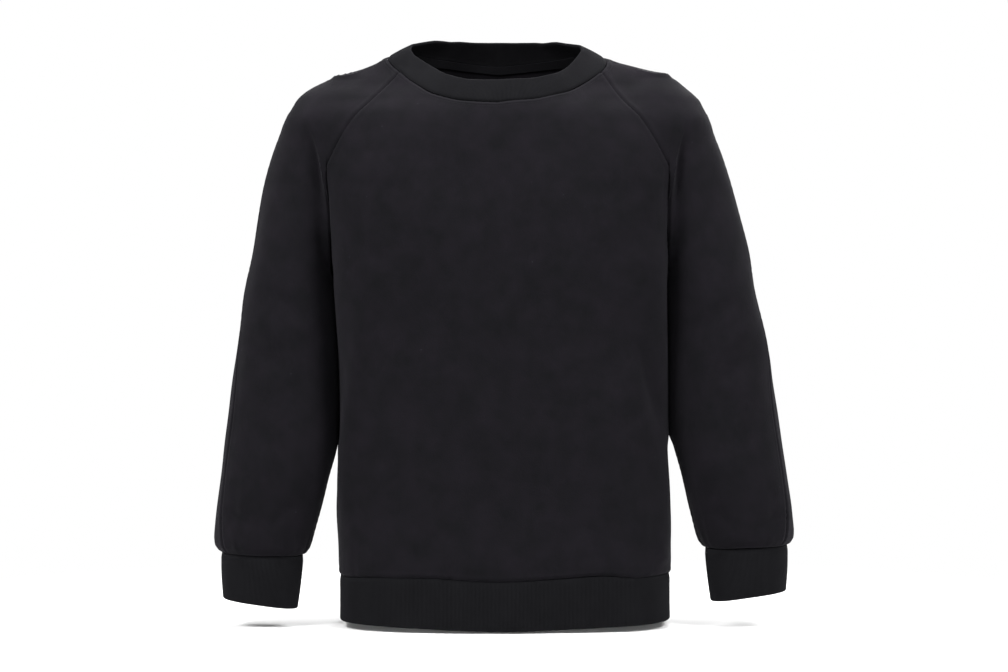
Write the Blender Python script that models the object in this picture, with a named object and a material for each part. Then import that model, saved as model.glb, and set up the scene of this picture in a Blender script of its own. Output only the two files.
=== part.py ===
"""Crewneck sweatshirt with two-piece raglan sleeves, hollow, in the shape it has when it is worn.

Metres, +Z up. The front faces -Y and the garment's own left is on +X. The origin is the middle of the
neck opening, at the height of the two points where the shoulders meet the neckband.

One smooth form, made of a torso and two hanging sleeves, gives every panel its shape. The panels are
grids of points on that form between the seams, and each is a cloth wall with its own thickness.
"""

import math

import bmesh
import bpy
import numpy as np

# Driving sizes
CLOTH = 0.0020          # thickness of the brushed fleece
RIB = 0.0030            # thickness of a rib band, folded double
TAPE = 0.0010           # thickness of the tape inside the neck
HALF_GAP = 0.00015      # each piece stops this far from its seam line and from the form
UNDERARM = -0.285       # height of the point where the body and sleeve seams meet
HEM_SEAM = -0.646       # height of the seam between the panels and the hem band
HEM_EDGE = -0.699       # height of the garment's lowest edge at its sides
HEM_DIP = 0.007         # the hem hangs this much lower at the front and back than at the sides
NECK_AXIS = 0.004       # the neckline is drawn in angles about an upright line this far behind the origin
NECK_ROUNDING = 0.016   # the neckline is rounded off this far to either side of its middle
EDGE_STRIP = 0.03       # share of a half sleeve that the strip beside a seam takes
TAPE_WIDTH = 0.010
BAND_GAP = 0.0009       # between the neckband and the panels, which meet it at a slant
TAPE_CLEAR = 0.0011     # between the tape and the inner face of the panels
SLEEVE_DROP = 0.0045    # the right sleeve hangs this much lower than the drawn one, the left one higher

BODY_COLUMNS = 18       # cells across the front and back panels
SLEEVE_COLUMNS = 8      # cells across half a sleeve
ROWS_ABOVE = 10         # cells from the neck to the underarm
ROWS_BELOW = 12         # cells from the underarm to the hem or cuff seam

# The torso's level sections are rounded oblongs.
# height, half width, front depth, back depth, power of the rounding
TORSO = (
    (0.016, 0.104, 0.050, 0.070, 1.50),
    (0.008, 0.1200, 0.052, 0.076, 1.45),
    (0.000, 0.136, 0.054, 0.081, 1.40),
    (-0.014, 0.1715, 0.057, 0.087, 1.35),
    (-0.034, 0.2165, 0.066, 0.095, 1.45),
    (-0.055, 0.2395, 0.082, 0.103, 1.75),
    (-0.077, 0.2360, 0.095, 0.109, 2.40),
    (-0.100, 0.2290, 0.103, 0.112, 2.80),
    (-0.120, 0.2235, 0.108, 0.113, 3.10),
    (-0.160, 0.2165, 0.115, 0.114, 3.50),
    (-0.210, 0.2110, 0.120, 0.112, 3.50),
    (-0.285, 0.2076, 0.1215, 0.1085, 3.30),
    (-0.340, 0.2066, 0.121, 0.106, 3.10),
    (-0.460, 0.2060, 0.119, 0.102, 3.00),
    (-0.560, 0.2065, 0.118, 0.102, 3.00),
    (-0.628, 0.2080, 0.119, 0.105, 3.00),
    (-0.640, 0.2075, 0.1185, 0.1045, 3.00),
    (-0.646, 0.2058, 0.1165, 0.1025, 3.00),
)

# A sleeve's level sections are ovals between an inner and an outer edge.
# height, inner edge, outer edge, front, back, power of the rounding
SLEEVE = (
    (-0.028, 0.180, 0.206, -0.004, 0.030, 2.00),
    (-0.045, 0.160, 0.230, -0.030, 0.056, 2.00),
    (-0.060, 0.148, 0.2480, -0.042, 0.072, 2.00),
    (-0.080, 0.142, 0.2650, -0.051, 0.084, 2.05),
    (-0.110, 0.148, 0.2775, -0.058, 0.091, 2.10),
    (-0.150, 0.162, 0.2905, -0.062, 0.093, 2.15),
    (-0.200, 0.182, 0.3025, -0.065, 0.091, 2.20),
    (-0.250, 0.199, 0.3130, -0.068, 0.087, 2.20),
    (-0.285, 0.2076, 0.3192, -0.070, 0.083, 2.20),
    (-0.320, 0.2080, 0.3250, -0.072, 0.078, 2.20),
    (-0.400, 0.2068, 0.3370, -0.075, 0.069, 2.20),
    (-0.4665, 0.2072, 0.3458, -0.079, 0.062, 2.20),
    (-0.529, 0.2208, 0.3531, -0.082, 0.053, 2.20),
    (-0.575, 0.2312, 0.3576, -0.080, 0.043, 2.20),
    (-0.600, 0.2365, 0.3590, -0.077, 0.037, 2.20),
    (-0.620, 0.2410, 0.3580, -0.073, 0.031, 2.20),
    (-0.660, 0.2480, 0.3560, -0.068, 0.026, 2.20),
)

# How softly the sleeve runs into the torso: a round shoulder above, a sharp fold at the armpit.
# height, reach of the blend
BLEND = (
    (0.000, 0.010),
    (-0.045, 0.030),
    (-0.080, 0.030),
    (-0.120, 0.014),
    (-0.170, 0.007),
    (-0.230, 0.004),
    (-0.285, 0.0006),
)

# The neck seam, from the middle of the front round to the middle of the back.
# angle about the neck axis in degrees, height
NECKLINE = (
    (0.0, -0.0650),
    (25.0, -0.0615),
    (45.0, -0.0520),
    (60.0, -0.0390),
    (74.0, -0.0210),
    (88.0, 0.0000),
    (100.0, 0.0070),
    (120.0, 0.0040),
    (180.0, -0.0030),
)
FRONT_RAGLAN_ANGLE = 74.0   # where the front raglan seam leaves the neckline
SHOULDER_ANGLE = 97.0       # where the overarm seam leaves it
BACK_RAGLAN_ANGLE = 126.0   # where the back raglan seam leaves it

# The neckband's folded edge, from the front to the back.
# angle, distance in from the neck seam, rise above the neck seam
NECK_RIM = (
    (0.0, 0.0120, 0.0290),
    (45.0, 0.0165, 0.0250),
    (76.0, 0.0265, 0.0190),
    (97.0, 0.0320, 0.0150),
    (130.0, 0.0225, 0.0210),
    (180.0, 0.0150, 0.0285),
)

# Raglan seams below the neckline, until they drop into the fold of the armpit.
# height, distance from the middle
FRONT_RAGLAN = (
    (-0.0587, 0.1545),
    (-0.0841, 0.1775),
    (-0.1200, 0.2000),
    (-0.1450, 0.2120),
    (-0.1700, 0.2220),
)
BACK_RAGLAN = (
    (-0.0500, 0.1400),
    (-0.0900, 0.1760),
    (-0.1200, 0.1980),
    (-0.1450, 0.2110),
    (-0.1700, 0.2220),
)

# The line inside a sleeve that its rings are square to, from the neck to the cuff seam.
# share of the way, sideways, height, depth
ARM = (
    (0.00, 0.108, -0.040, 0.012),
    (0.15, 0.150, -0.066, 0.013),
    (0.30, 0.196, -0.100, 0.014),
    (0.42, 0.234, -0.160, 0.012),
    (0.55, 0.2636, -0.280, 0.006),
    (0.75, 0.2760, -0.440, -0.008),
    (0.90, 0.2925, -0.570, -0.018),
    (1.00, 0.2945, -0.6145, -0.0215),
)
ARM_UNDERARM = 0.55     # share of that way at the underarm point

# How far the overarm seam is turned to the front of the sleeve's outer edge.
# share of the way, degrees
OVERARM = (
    (0.00, 0.0),
    (0.30, 2.0),
    (0.45, 12.0),
    (0.60, 24.0),
    (0.80, 32.0),
    (1.00, 36.0),
)

# A sleeve closes in to its cuff over the last stretch.
# share of the way, size beside the sleeve's own sections
CUFF_DRAW = (
    (0.955, 1.000),
    (0.978, 0.985),
    (0.992, 0.930),
    (1.000, 0.875),
)
CUFF_LENGTH = 0.061
CUFF_TAPER = 0.91       # the cuff's lower edge beside its seam
CUFF_TILT = 0.0045      # the cuff's lower edge rises this much at its outer side

# The garment hangs a little askew.
# height, shift to the garment's left
HANG = (
    (0.000, 0.0000),
    (-0.022, 0.0050),
    (-0.050, 0.0025),
    (-0.090, 0.0012),
    (-0.129, 0.0024),
    (-0.240, 0.0040),
    (-0.380, 0.0077),
    (-0.530, 0.0095),
    (-0.710, 0.0096),
)

# The hem seam rides up in soft waves, seen along the front; the back has the same ones the other way.
# distance from the middle, rise
HEM_WAVE = (
    (-0.210, 0.0000),
    (-0.155, 0.0040),
    (-0.090, 0.0045),
    (-0.010, 0.0005),
    (0.055, 0.0028),
    (0.120, 0.0065),
    (0.165, 0.0035),
    (0.205, 0.0045),
)
HEM_WAVE_REACH = 0.030  # the waves fade out this far above and below the seam

FLEECE_COLOUR = (0.0125, 0.0122, 0.0148, 1.0)
RIB_COLOUR = (0.0150, 0.0145, 0.0165, 1.0)
TAPE_COLOUR = (0.0100, 0.0100, 0.0110, 1.0)


def curve(table, at):
    """The columns of a table at places in its first column, along smooth curves that never overshoot."""
    rows = np.array(sorted(table))
    place, value = rows[:, 0], rows[:, 1:]
    step = np.diff(place)[:, None]
    slope = np.diff(value, axis=0) / step
    same = slope[1:] * slope[:-1] > 0
    total = np.where(same, slope[1:] + slope[:-1], 1.0)
    middle = np.where(same, 2 * slope[1:] * slope[:-1] / total, 0.0)
    tangent = np.vstack([slope[:1], middle, slope[-1:]])
    at = np.clip(np.asarray(at, float), place[0], place[-1])
    k = np.clip(np.searchsorted(place, at, side="right") - 1, 0, len(step) - 1)
    t = ((at - place[k]) / step[k, 0])[..., None]
    out = value[k] * (1 + 2 * t) * (1 - t) ** 2 + value[k + 1] * t * t * (3 - 2 * t)
    out = out + step[k] * (tangent[k] * t * (1 - t) ** 2 + tangent[k + 1] * t * t * (t - 1))
    return np.moveaxis(out, -1, 0)


def torso_field(p):
    """Below zero inside the torso, above zero outside it, in about metres."""
    half, front, back, power = curve(TORSO, p[..., 2])
    depth = np.where(p[..., 1] < 0, front, back)
    across = np.hypot(p[..., 0], NECK_ROUNDING) / half
    deep = np.abs(p[..., 1]) / depth
    level = ((across**power + deep**power) ** (1 / power) - 1) * np.minimum(half, depth)
    return np.maximum(level, p[..., 2] - TORSO[0][0])


def sleeve_field(p):
    """The same for the sleeve on the +X side."""
    inner, outer, front, back, power = curve(SLEEVE, p[..., 2])
    across = np.abs(p[..., 0] - (inner + outer) / 2) / ((outer - inner) / 2)
    deep = np.abs(p[..., 1] - (front + back) / 2) / ((back - front) / 2)
    size = np.minimum(outer - inner, back - front) / 2
    level = ((across**power + deep**power) ** (1 / power) - 1) * size
    return np.maximum(level, p[..., 2] - SLEEVE[0][0])


def whole_field(p):
    """The torso and the +X sleeve run together, with the blend of each height."""
    reach = curve(BLEND, p[..., 2])[0]
    a = torso_field(p)
    b = sleeve_field(p)
    h = np.clip(0.5 + 0.5 * (b - a) / reach, 0, 1)
    return b * (1 - h) + a * h - reach * h * (1 - h)


def cast(field, start, way, nearest, furthest, marches=140):
    """The points where rays from inside a form first leave it."""
    start, way = np.broadcast_arrays(start, way)
    distance = np.full(start.shape[:-1], float(nearest))
    stride = (furthest - nearest) / marches
    going = np.ones(distance.shape, bool)
    for _ in range(marches):
        ahead = distance + stride
        going = going & (field(start + way * ahead[..., None]) < 0)
        distance = np.where(going, ahead, distance)
    low, high = distance, distance + stride
    for _ in range(28):
        mid = (low + high) / 2
        inside = field(start + way * mid[..., None]) < 0
        low = np.where(inside, mid, low)
        high = np.where(inside, high, mid)
    return start + way * low[..., None]


def outward(field, p):
    """The direction square to a form's surface."""
    eps = 0.0004
    shifts = np.eye(3) * eps
    slope = np.stack([field(p + s) - field(p - s) for s in shifts], axis=-1)
    return slope / np.linalg.norm(slope, axis=-1, keepdims=True)


def neck_point(angle):
    """Points of the neck seam at angles in degrees, from 0 at the front to 180 at the back."""
    angle = np.asarray(angle, float)
    height = curve(NECKLINE, angle)[0]
    start = np.stack([0 * angle, NECK_AXIS + 0 * angle, height], axis=-1)
    turn = np.radians(angle)
    way = np.stack([np.sin(turn), -np.cos(turn), 0 * angle], axis=-1)
    return cast(whole_field, start, way, 0.02, 0.20)


def armpit(height, side):
    """Where the outlines of torso and sleeve cross, level by level: distance from the middle and depth."""
    half, front, back, power = curve(TORSO, height)
    inner, outer, s_front, s_back, s_power = curve(SLEEVE, height)
    depth = np.where(side < 0, front, back)

    def lap(y):
        torso = half * np.clip(1 - (y / depth) ** power, 0, 1) ** (1 / power)
        deep = np.abs(side * y - (s_front + s_back) / 2) / ((s_back - s_front) / 2)
        bulge = np.clip(1 - deep**s_power, 0, 1) ** (1 / s_power)
        sleeve = (inner + outer) / 2 - (outer - inner) / 2 * bulge
        return torso - sleeve, torso

    low = np.zeros_like(height)
    high = low + 0.125
    for _ in range(40):
        mid = (low + high) / 2
        over = lap(mid)[0] > 0
        low = np.where(over, mid, low)
        high = np.where(over, high, mid)
    return lap(low)[1], side * low


def raglan_seam(share, side):
    """Points of the front (side -1) or back (side +1) raglan seam, from the neckline (0) to the underarm (1)."""
    share = np.asarray(share, float)
    angle, table = (FRONT_RAGLAN_ANGLE, FRONT_RAGLAN) if side < 0 else (BACK_RAGLAN_ANGLE, BACK_RAGLAN)
    top = neck_point(angle)
    height = top[2] + (UNDERARM - top[2]) * share
    drawn = curve(((top[2], top[0]), *table), height)[0]
    fold_x, fold_y = armpit(height, side)
    x = np.minimum(drawn, fold_x)
    inside = np.where(drawn < fold_x, 0.010, fold_y)
    start = np.stack([x, inside, height], axis=-1)
    found = cast(whole_field, start, np.array([0.0, float(side), 0.0]), 0.0, 0.16)
    at_point = share >= 1
    found[at_point] = (curve(TORSO, UNDERARM)[0], 0.0, UNDERARM)
    return found


def seam_shares(rows):
    """Places along a raglan seam, closer together towards the underarm where it turns."""
    return 1 - (1 - np.linspace(0, 1, rows + 1)) ** 1.35


def hem_shares(rows):
    """Places from the underarm down, closer together towards the hem or cuff seam."""
    even = np.linspace(0, 1, rows + 1)[1:]
    return 0.55 * even + 0.45 * (1 - (1 - even) ** 2.2)


def body_grid(side, columns, rows_above, rows_below):
    """Points of the front or back panel, a row for each level, on the form and up to its seams."""
    above = raglan_seam(seam_shares(rows_above), side)
    height = UNDERARM + (HEM_SEAM - UNDERARM) * hem_shares(rows_below)
    below = np.stack([curve(TORSO, height)[0], 0 * height, height], axis=-1)
    seam = np.concatenate([above, below])
    middle = 0.0 if side < 0 else 180.0
    corner = FRONT_RAGLAN_ANGLE if side < 0 else BACK_RAGLAN_ANGLE
    across = body_columns(columns)
    neck = curve(NECKLINE, middle + (corner - middle) * np.abs(across))[0]
    fade = np.clip((seam[:, 2] - UNDERARM) / (seam[0, 2] - UNDERARM), 0, 1) ** 1.4
    level = seam[:, None, 2] + (neck - seam[0, 2]) * fade[:, None]
    axis = NECK_AXIS * fade[:, None] + 0 * level
    edge_turn = np.arctan2(seam[:, 0], side * (seam[:, 1] - axis[:, 0]))
    turn = edge_turn[:, None] * across
    start = np.stack([0 * level, axis, level], axis=-1)
    way = np.stack([np.sin(np.abs(turn)), side * np.cos(turn), 0 * turn], axis=-1)
    found = cast(whole_field, start, way, 0.02, 0.30)
    alone = cast(torso_field, start, way, 0.02, 0.30)
    slack = curve(BLEND, level)[0] * 0.6
    far = np.linalg.norm(found - alone, axis=-1) > slack
    low = level <= UNDERARM
    found = np.where((far | low)[..., None], alone, found)
    found[:, 0] = seam
    found[:, -1] = seam
    found[..., 0] *= np.sign(across)
    return found


def arm_frames(share):
    """Middle point, way along, outward way of a sleeve's rings."""
    x, z, y = curve(ARM, share)
    centre = np.stack([x, y, z], axis=-1)
    ahead = np.stack(curve(ARM, share + 0.01), axis=-1)[..., [0, 2, 1]]
    behind = np.stack(curve(ARM, share - 0.01), axis=-1)[..., [0, 2, 1]]
    along = ahead - behind
    along[..., 1] = 0
    along /= np.linalg.norm(along, axis=-1, keepdims=True)
    out = np.stack([-along[..., 2], 0 * share, along[..., 0]], axis=-1)
    return centre, along, out


def bearing(point, centre, along, out):
    """A point's angle round a sleeve's ring, to the front from its outer edge, and its lift along the sleeve."""
    way = point - centre
    way /= np.linalg.norm(way, axis=-1, keepdims=True)
    turn = np.arctan2(-way[..., 1], (way * out).sum(-1))
    lift = np.arcsin(np.clip((way * along).sum(-1), -1, 1))
    return turn, lift


def sleeve_columns(columns):
    """Shares of the way across half a sleeve, with a narrow strip beside each seam."""
    return np.array([0, *np.linspace(EDGE_STRIP, 1 - EDGE_STRIP, columns - 1), 1])


def body_columns(columns):
    """Shares of the way across a body panel, from -1 to 1, closer together towards its seams."""
    inner = np.linspace(-1, 1, columns - 1) * 1.25
    inner = np.sin(inner) / math.sin(1.25) * (1 - EDGE_STRIP / 2)
    return np.array([-1, *inner, 1])


def sleeve_grid(side, columns, rows_above, rows_below):
    """Points of the front or back half of the +X sleeve, from the neck to the cuff seam."""
    seam_share = seam_shares(rows_above)
    below = hem_shares(rows_below)
    share = np.concatenate([seam_share * ARM_UNDERARM, ARM_UNDERARM + (1 - ARM_UNDERARM) * below])
    centre, along, out = arm_frames(share)
    seam = raglan_seam(seam_share, side)
    turn_in, lift_in = bearing(seam, centre[: rows_above + 1], along[: rows_above + 1], out[: rows_above + 1])
    turn_in[-1] = -side * math.pi
    edge_turn = np.concatenate([turn_in, np.full(rows_below, -side * math.pi)])
    edge_lift = np.concatenate([lift_in, np.zeros(rows_below)])
    underarm_lift = lift_in[-1]
    ease = np.clip(1 - (share[rows_above + 1 :] - ARM_UNDERARM) / 0.12, 0, 1) ** 2
    edge_lift[rows_above + 1 :] = underarm_lift * ease
    f = sleeve_columns(columns)
    top = np.radians(curve(OVERARM, share)[0])
    turn = top[:, None] + (edge_turn - top)[:, None] * f
    lift = edge_lift[:, None] * f**2
    corner = FRONT_RAGLAN_ANGLE if side < 0 else BACK_RAGLAN_ANGLE
    neck = neck_point(SHOULDER_ANGLE + (corner - SHOULDER_ANGLE) * f)
    neck_turn, neck_lift = bearing(neck, centre[0], along[0], out[0])
    fade = np.clip(1 - share / 0.3, 0, 1)[:, None] ** 2
    turn = turn + (neck_turn - turn[0]) * fade
    lift = lift + (neck_lift - lift[0]) * fade
    flat = np.cos(lift)[..., None]
    way = flat * np.cos(turn)[..., None] * out[:, None] + np.sin(lift)[..., None] * along[:, None]
    way = way - flat * np.sin(turn)[..., None] * np.array([0.0, 1.0, 0.0])
    start = np.broadcast_to(centre[:, None], way.shape)
    whole = cast(whole_field, start, way, 0.005, 0.16)
    alone = cast(sleeve_field, start, way, 0.005, 0.16)
    level = whole[..., 2]
    slack = np.where(level < -0.15, curve(BLEND, level)[0] * 0.6, 1.0)
    far = np.linalg.norm(whole - alone, axis=-1) > slack
    low = (share > ARM_UNDERARM)[:, None] | (alone[..., 2] < UNDERARM)
    found = np.where((far | low)[..., None], alone, whole)
    draw = curve(CUFF_DRAW, share)[0][:, None, None]
    found = start + (found - start) * draw
    found[: rows_above + 1, -1] = seam
    found[0] = neck
    return found


def drape(points, side=0):
    """The points as the garment hangs: askew, wavy at the hem, one sleeve a little lower than the other."""
    out = np.array(points)
    if side:
        share = np.clip((UNDERARM + 0.05 - out[..., 2]) / 0.35, 0, 1)
        out[..., 2] += side * SLEEVE_DROP * share**1.5
    else:
        front = np.clip(0.5 - out[..., 1] / 0.12, 0, 1)
        rise = curve(HEM_WAVE, out[..., 0])[0] * front + curve(HEM_WAVE, -out[..., 0])[0] * (1 - front)
        out[..., 2] += rise * np.exp(-(((points[..., 2] - HEM_SEAM) / HEM_WAVE_REACH) ** 2))
    out[..., 0] += curve(HANG, points[..., 2])[0]
    return out


def inset(grid):
    """The grid with its four edges moved in from their seams by half the gap, square to the seams."""
    out = np.array(grid)
    edges = (
        (np.s_[:, 0], np.s_[:, 1]),
        (np.s_[:, -1], np.s_[:, -2]),
        (np.s_[0], np.s_[1]),
        (np.s_[-1], np.s_[-2]),
    )
    for edge, beside in edges:
        line = out[edge]
        across = out[beside] - line
        across /= np.linalg.norm(across, axis=-1, keepdims=True)
        run = np.gradient(line, axis=0)
        run /= np.linalg.norm(run, axis=-1, keepdims=True)
        square = np.sqrt(np.clip(1 - (across * run).sum(-1) ** 2, 0.06, 1))
        out[edge] = line + across * (HALF_GAP / square)[..., None]
    return out


def material(name, colour, roughness):
    """A plain cloth material."""
    made = bpy.data.materials.new(name)
    made.use_nodes = True
    shader = made.node_tree.nodes["Principled BSDF"]
    shader.inputs["Base Color"].default_value = colour
    shader.inputs["Roughness"].default_value = roughness
    shader.inputs["Metallic"].default_value = 0.0
    return made


def add_object(name, bm, finish, collection):
    """A named object from a bmesh."""
    mesh = bpy.data.meshes.new(name)
    bm.to_mesh(mesh)
    bm.free()
    mesh.materials.append(finish)
    made = bpy.data.objects.new(name, mesh)
    collection.objects.link(made)
    mesh.shade_smooth()
    mesh.set_sharp_from_angle(angle=math.radians(50))
    return made


def add_faces(bm, grid, close_rows=False, close_columns=False):
    """Quads between the points of a grid, which may join up with itself either way."""
    rows, columns = grid.shape[:2]
    vert = [[bm.verts.new(p) for p in row] for row in grid]
    for i in range(rows if close_rows else rows - 1):
        for j in range(columns if close_columns else columns - 1):
            k, m = (i + 1) % rows, (j + 1) % columns
            bm.faces.new((vert[i][j], vert[i][m], vert[k][m], vert[k][j]))


def add_panel(name, outer, inner, finish, collection):
    """A cloth wall between its outer and inner faces, closed along its four edges."""
    bm = bmesh.new()
    rows, columns = outer.shape[:2]
    round_row = np.concatenate([outer, inner[:, ::-1]], axis=1)
    add_faces(bm, round_row, close_columns=True)
    bm.verts.ensure_lookup_table()
    width = 2 * columns
    for first in (0, (rows - 1) * width):
        for j in range(columns - 1):
            corners = (j, j + 1, width - 2 - j, width - 1 - j)
            bm.faces.new([bm.verts[first + k] for k in corners])
    bmesh.ops.recalc_face_normals(bm, faces=bm.faces)
    return add_object(name, bm, finish, collection)


def wall_way(points, own_field):
    """The way out through a panel's wall, the same for both panels of a seam so that their edges keep apart."""
    share = np.clip((points[..., 2] - UNDERARM - 0.03) / 0.05, 0, 1)[..., None]
    way = share * outward(whole_field, points) + (1 - share) * outward(own_field, points)
    return way / np.linalg.norm(way, axis=-1, keepdims=True)


def add_ring(name, sections, finish, collection):
    """A closed band: one closed section at each place round the ring."""
    bm = bmesh.new()
    add_faces(bm, sections, close_rows=True, close_columns=True)
    bmesh.ops.recalc_face_normals(bm, faces=bm.faces)
    return add_object(name, bm, finish, collection)


def band_section(foot, rim, normal, thickness):
    """A folded band's section: flat at its seam, round at its fold, with its wall on the inner side."""
    up = rim - foot
    length = np.linalg.norm(up, axis=-1, keepdims=True)
    up = up / length
    normal = normal - (normal * up).sum(-1, keepdims=True) * up
    normal /= np.linalg.norm(normal, axis=-1, keepdims=True)
    radius = thickness / 2
    places = [foot, rim - up * radius * 1.2, rim - normal * radius]
    places += [rim - up * radius * 1.2 - normal * thickness, foot - normal * thickness]
    return np.stack(places, axis=1)


def mirror(points):
    return points * np.array([-1.0, 1.0, 1.0])


def add_body(finish, collection):
    """The front and back panels."""
    for name, side in (("front_body", -1), ("back_body", 1)):
        grid = body_grid(side, BODY_COLUMNS, ROWS_ABOVE, ROWS_BELOW)
        turned = np.where(grid[..., :1] < 0, -1.0, 1.0) * np.array([1.0, 0, 0]) + np.array([0, 1.0, 1.0])
        way = wall_way(grid * turned, torso_field) * turned
        grid = inset(grid)
        outer = drape(grid - way * HALF_GAP)
        inner = drape(grid - way * (HALF_GAP + CLOTH))
        add_panel(name, outer, inner, finish, collection)


def add_sleeves(finish, collection):
    """The front and back halves of both sleeves."""
    for half, side in (("front", -1), ("back", 1)):
        grid = sleeve_grid(side, SLEEVE_COLUMNS, ROWS_ABOVE, ROWS_BELOW)
        way = wall_way(grid, sleeve_field)
        grid = inset(grid)
        outer = grid - way * HALF_GAP
        inner = grid - way * (HALF_GAP + CLOTH)
        add_panel(f"sleeve_{half}_l", drape(outer, 1), drape(inner, 1), finish, collection)
        add_panel(f"sleeve_{half}_r", drape(mirror(outer), -1), drape(mirror(inner), -1), finish, collection)


def neck_loop():
    """Angles all round the neck at the panels' own columns, with the side that each lies on."""
    front = FRONT_RAGLAN_ANGLE * np.abs(body_columns(BODY_COLUMNS)[BODY_COLUMNS // 2 :])
    back = 180 + (BACK_RAGLAN_ANGLE - 180) * np.abs(body_columns(BODY_COLUMNS)[BODY_COLUMNS // 2 :])
    share = sleeve_columns(SLEEVE_COLUMNS)
    ahead = SHOULDER_ANGLE + (FRONT_RAGLAN_ANGLE - SHOULDER_ANGLE) * share
    behind = SHOULDER_ANGLE + (BACK_RAGLAN_ANGLE - SHOULDER_ANGLE) * share
    half = np.unique(np.round(np.concatenate([front, ahead, behind, back]), 9))
    angle = np.concatenate([half, half[-2:0:-1]])
    side = np.concatenate([np.ones(len(half)), -np.ones(len(half) - 2)])
    return angle, side


def add_neckband(finish, collection):
    """The rib band that stands up from the neck seam."""
    angle, side = neck_loop()
    foot = neck_point(angle)
    inward, rise = curve(NECK_RIM, angle)
    turn = np.radians(angle)
    out = np.stack([np.sin(turn), -np.cos(turn), 0 * turn], axis=-1)
    rim = foot - out * inward[:, None]
    rim[:, 2] += rise
    up = rim - foot
    up /= np.linalg.norm(up, axis=-1, keepdims=True)
    section = band_section(foot + up * BAND_GAP, rim, out, RIB)
    section[..., 0] *= side[:, None]
    add_ring("neckband", drape(section), finish, collection)


def add_neck_tape(finish, collection):
    """The tape along the inside of the back neck seam, a little inside the panels."""
    half = np.linspace(SHOULDER_ANGLE + 8, 180, 13)
    top = neck_point(half)
    low = top.copy()
    low[:, 2] -= TAPE_WIDTH
    start = low * np.array([0.3, 0.3, 1.0])
    way = (low - start) * np.array([1.0, 1.0, 0.0])
    way /= np.linalg.norm(way, axis=-1, keepdims=True)
    low = cast(whole_field, start, way, 0.0, 0.2)
    line = np.linspace(0.08, 1.0, 3)[None, :, None]
    grid = top[:, None] * (1 - line) + low[:, None] * line
    way = outward(whole_field, grid)
    faces = []
    for depth in (CLOTH + TAPE_CLEAR, CLOTH + TAPE_CLEAR + TAPE):
        face = grid - way * depth
        faces.append(drape(np.concatenate([face, mirror(face[-2::-1])])))
    add_panel("neck_tape", faces[0], faces[1], finish, collection)


def oblong(half, front, back, power, turn):
    """A level outline of the torso at angles from the front."""
    s, c = np.sin(turn), -np.cos(turn)
    depth = np.where(c < 0, front, back)
    size = (np.abs(s / half) ** power + np.abs(c / depth) ** power) ** (-1 / power)
    return s * size, c * size


def add_hem_band(finish, collection):
    """The rib band below the hem seam."""
    across = body_columns(BODY_COLUMNS)
    turn = np.concatenate([across, 2 - across[-2:0:-1]]) * math.pi / 2
    half, front, back, power = curve(TORSO, HEM_SEAM)
    ring = []
    dip = HEM_DIP * np.cos(turn) ** 2
    radius = RIB / 2
    sketch = (
        (0.0, HEM_SEAM - 2 * HALF_GAP, 0.0),
        (-0.0002, (HEM_SEAM + HEM_EDGE) / 2, 0.5),
        (-0.0006, HEM_EDGE + radius, 1.0),
        (-0.0006 - radius, HEM_EDGE, 1.0),
        (-0.0006 - RIB, HEM_EDGE + radius, 1.0),
        (-RIB, HEM_SEAM - 2 * HALF_GAP, 0.0),
    )
    for out, height, share in sketch:
        x, y = oblong(half + out, front + out, back + out, power, turn)
        ring.append(np.stack([x, y, height - dip * share], axis=-1))
    add_ring("hem_band", drape(np.stack(ring, axis=1)), finish, collection)


def add_cuffs(finish, collection):
    """The rib cuffs, square to the sleeves' ends."""
    turn = np.arange(28) * 2 * math.pi / 28
    share = np.ones_like(turn)
    centre, along, out = arm_frames(share)
    back = np.array([0.0, 1.0, 0.0])
    way = np.cos(turn)[:, None] * out - np.sin(turn)[:, None] * back
    seam = cast(sleeve_field, centre, way, 0.005, 0.16)
    seam = centre + (seam - centre) * curve(CUFF_DRAW, share)[0][:, None]
    slant = np.array([0.0, -0.06, 0.0])
    down = along + slant
    down /= np.linalg.norm(down, axis=-1, keepdims=True)
    foot = seam + down * 2 * HALF_GAP
    rim = centre + (seam - centre) * CUFF_TAPER + down * CUFF_LENGTH
    rim[:, 2] += CUFF_TILT * np.cos(turn)
    section = band_section(foot, rim, way, RIB)
    add_ring("cuff_l", drape(section, 1), finish, collection)
    add_ring("cuff_r", drape(mirror(section), -1), finish, collection)


def main():
    for item in list(bpy.data.objects):
        bpy.data.objects.remove(item)
    garment = bpy.data.collections.new("crewneck_sweatshirt")
    bpy.context.scene.collection.children.link(garment)
    fleece = material("brushed_fleece", FLEECE_COLOUR, 0.95)
    rib = material("rib_knit", RIB_COLOUR, 0.9)
    tape = material("neck_tape", TAPE_COLOUR, 0.9)
    add_body(fleece, garment)
    add_sleeves(fleece, garment)
    add_neckband(rib, garment)
    add_neck_tape(tape, garment)
    add_hem_band(rib, garment)
    add_cuffs(rib, garment)


main()
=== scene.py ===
"""Crewneck sweatshirt with two-piece raglan sleeves: the cloth, its ribs and stitches, and a white studio.

Metres, +Z up. The front faces -Y and the garment's own left is on +X. The origin is the middle of the
neck opening, at the height of the two points where the shoulders meet the neckband.
"""

import math

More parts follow.
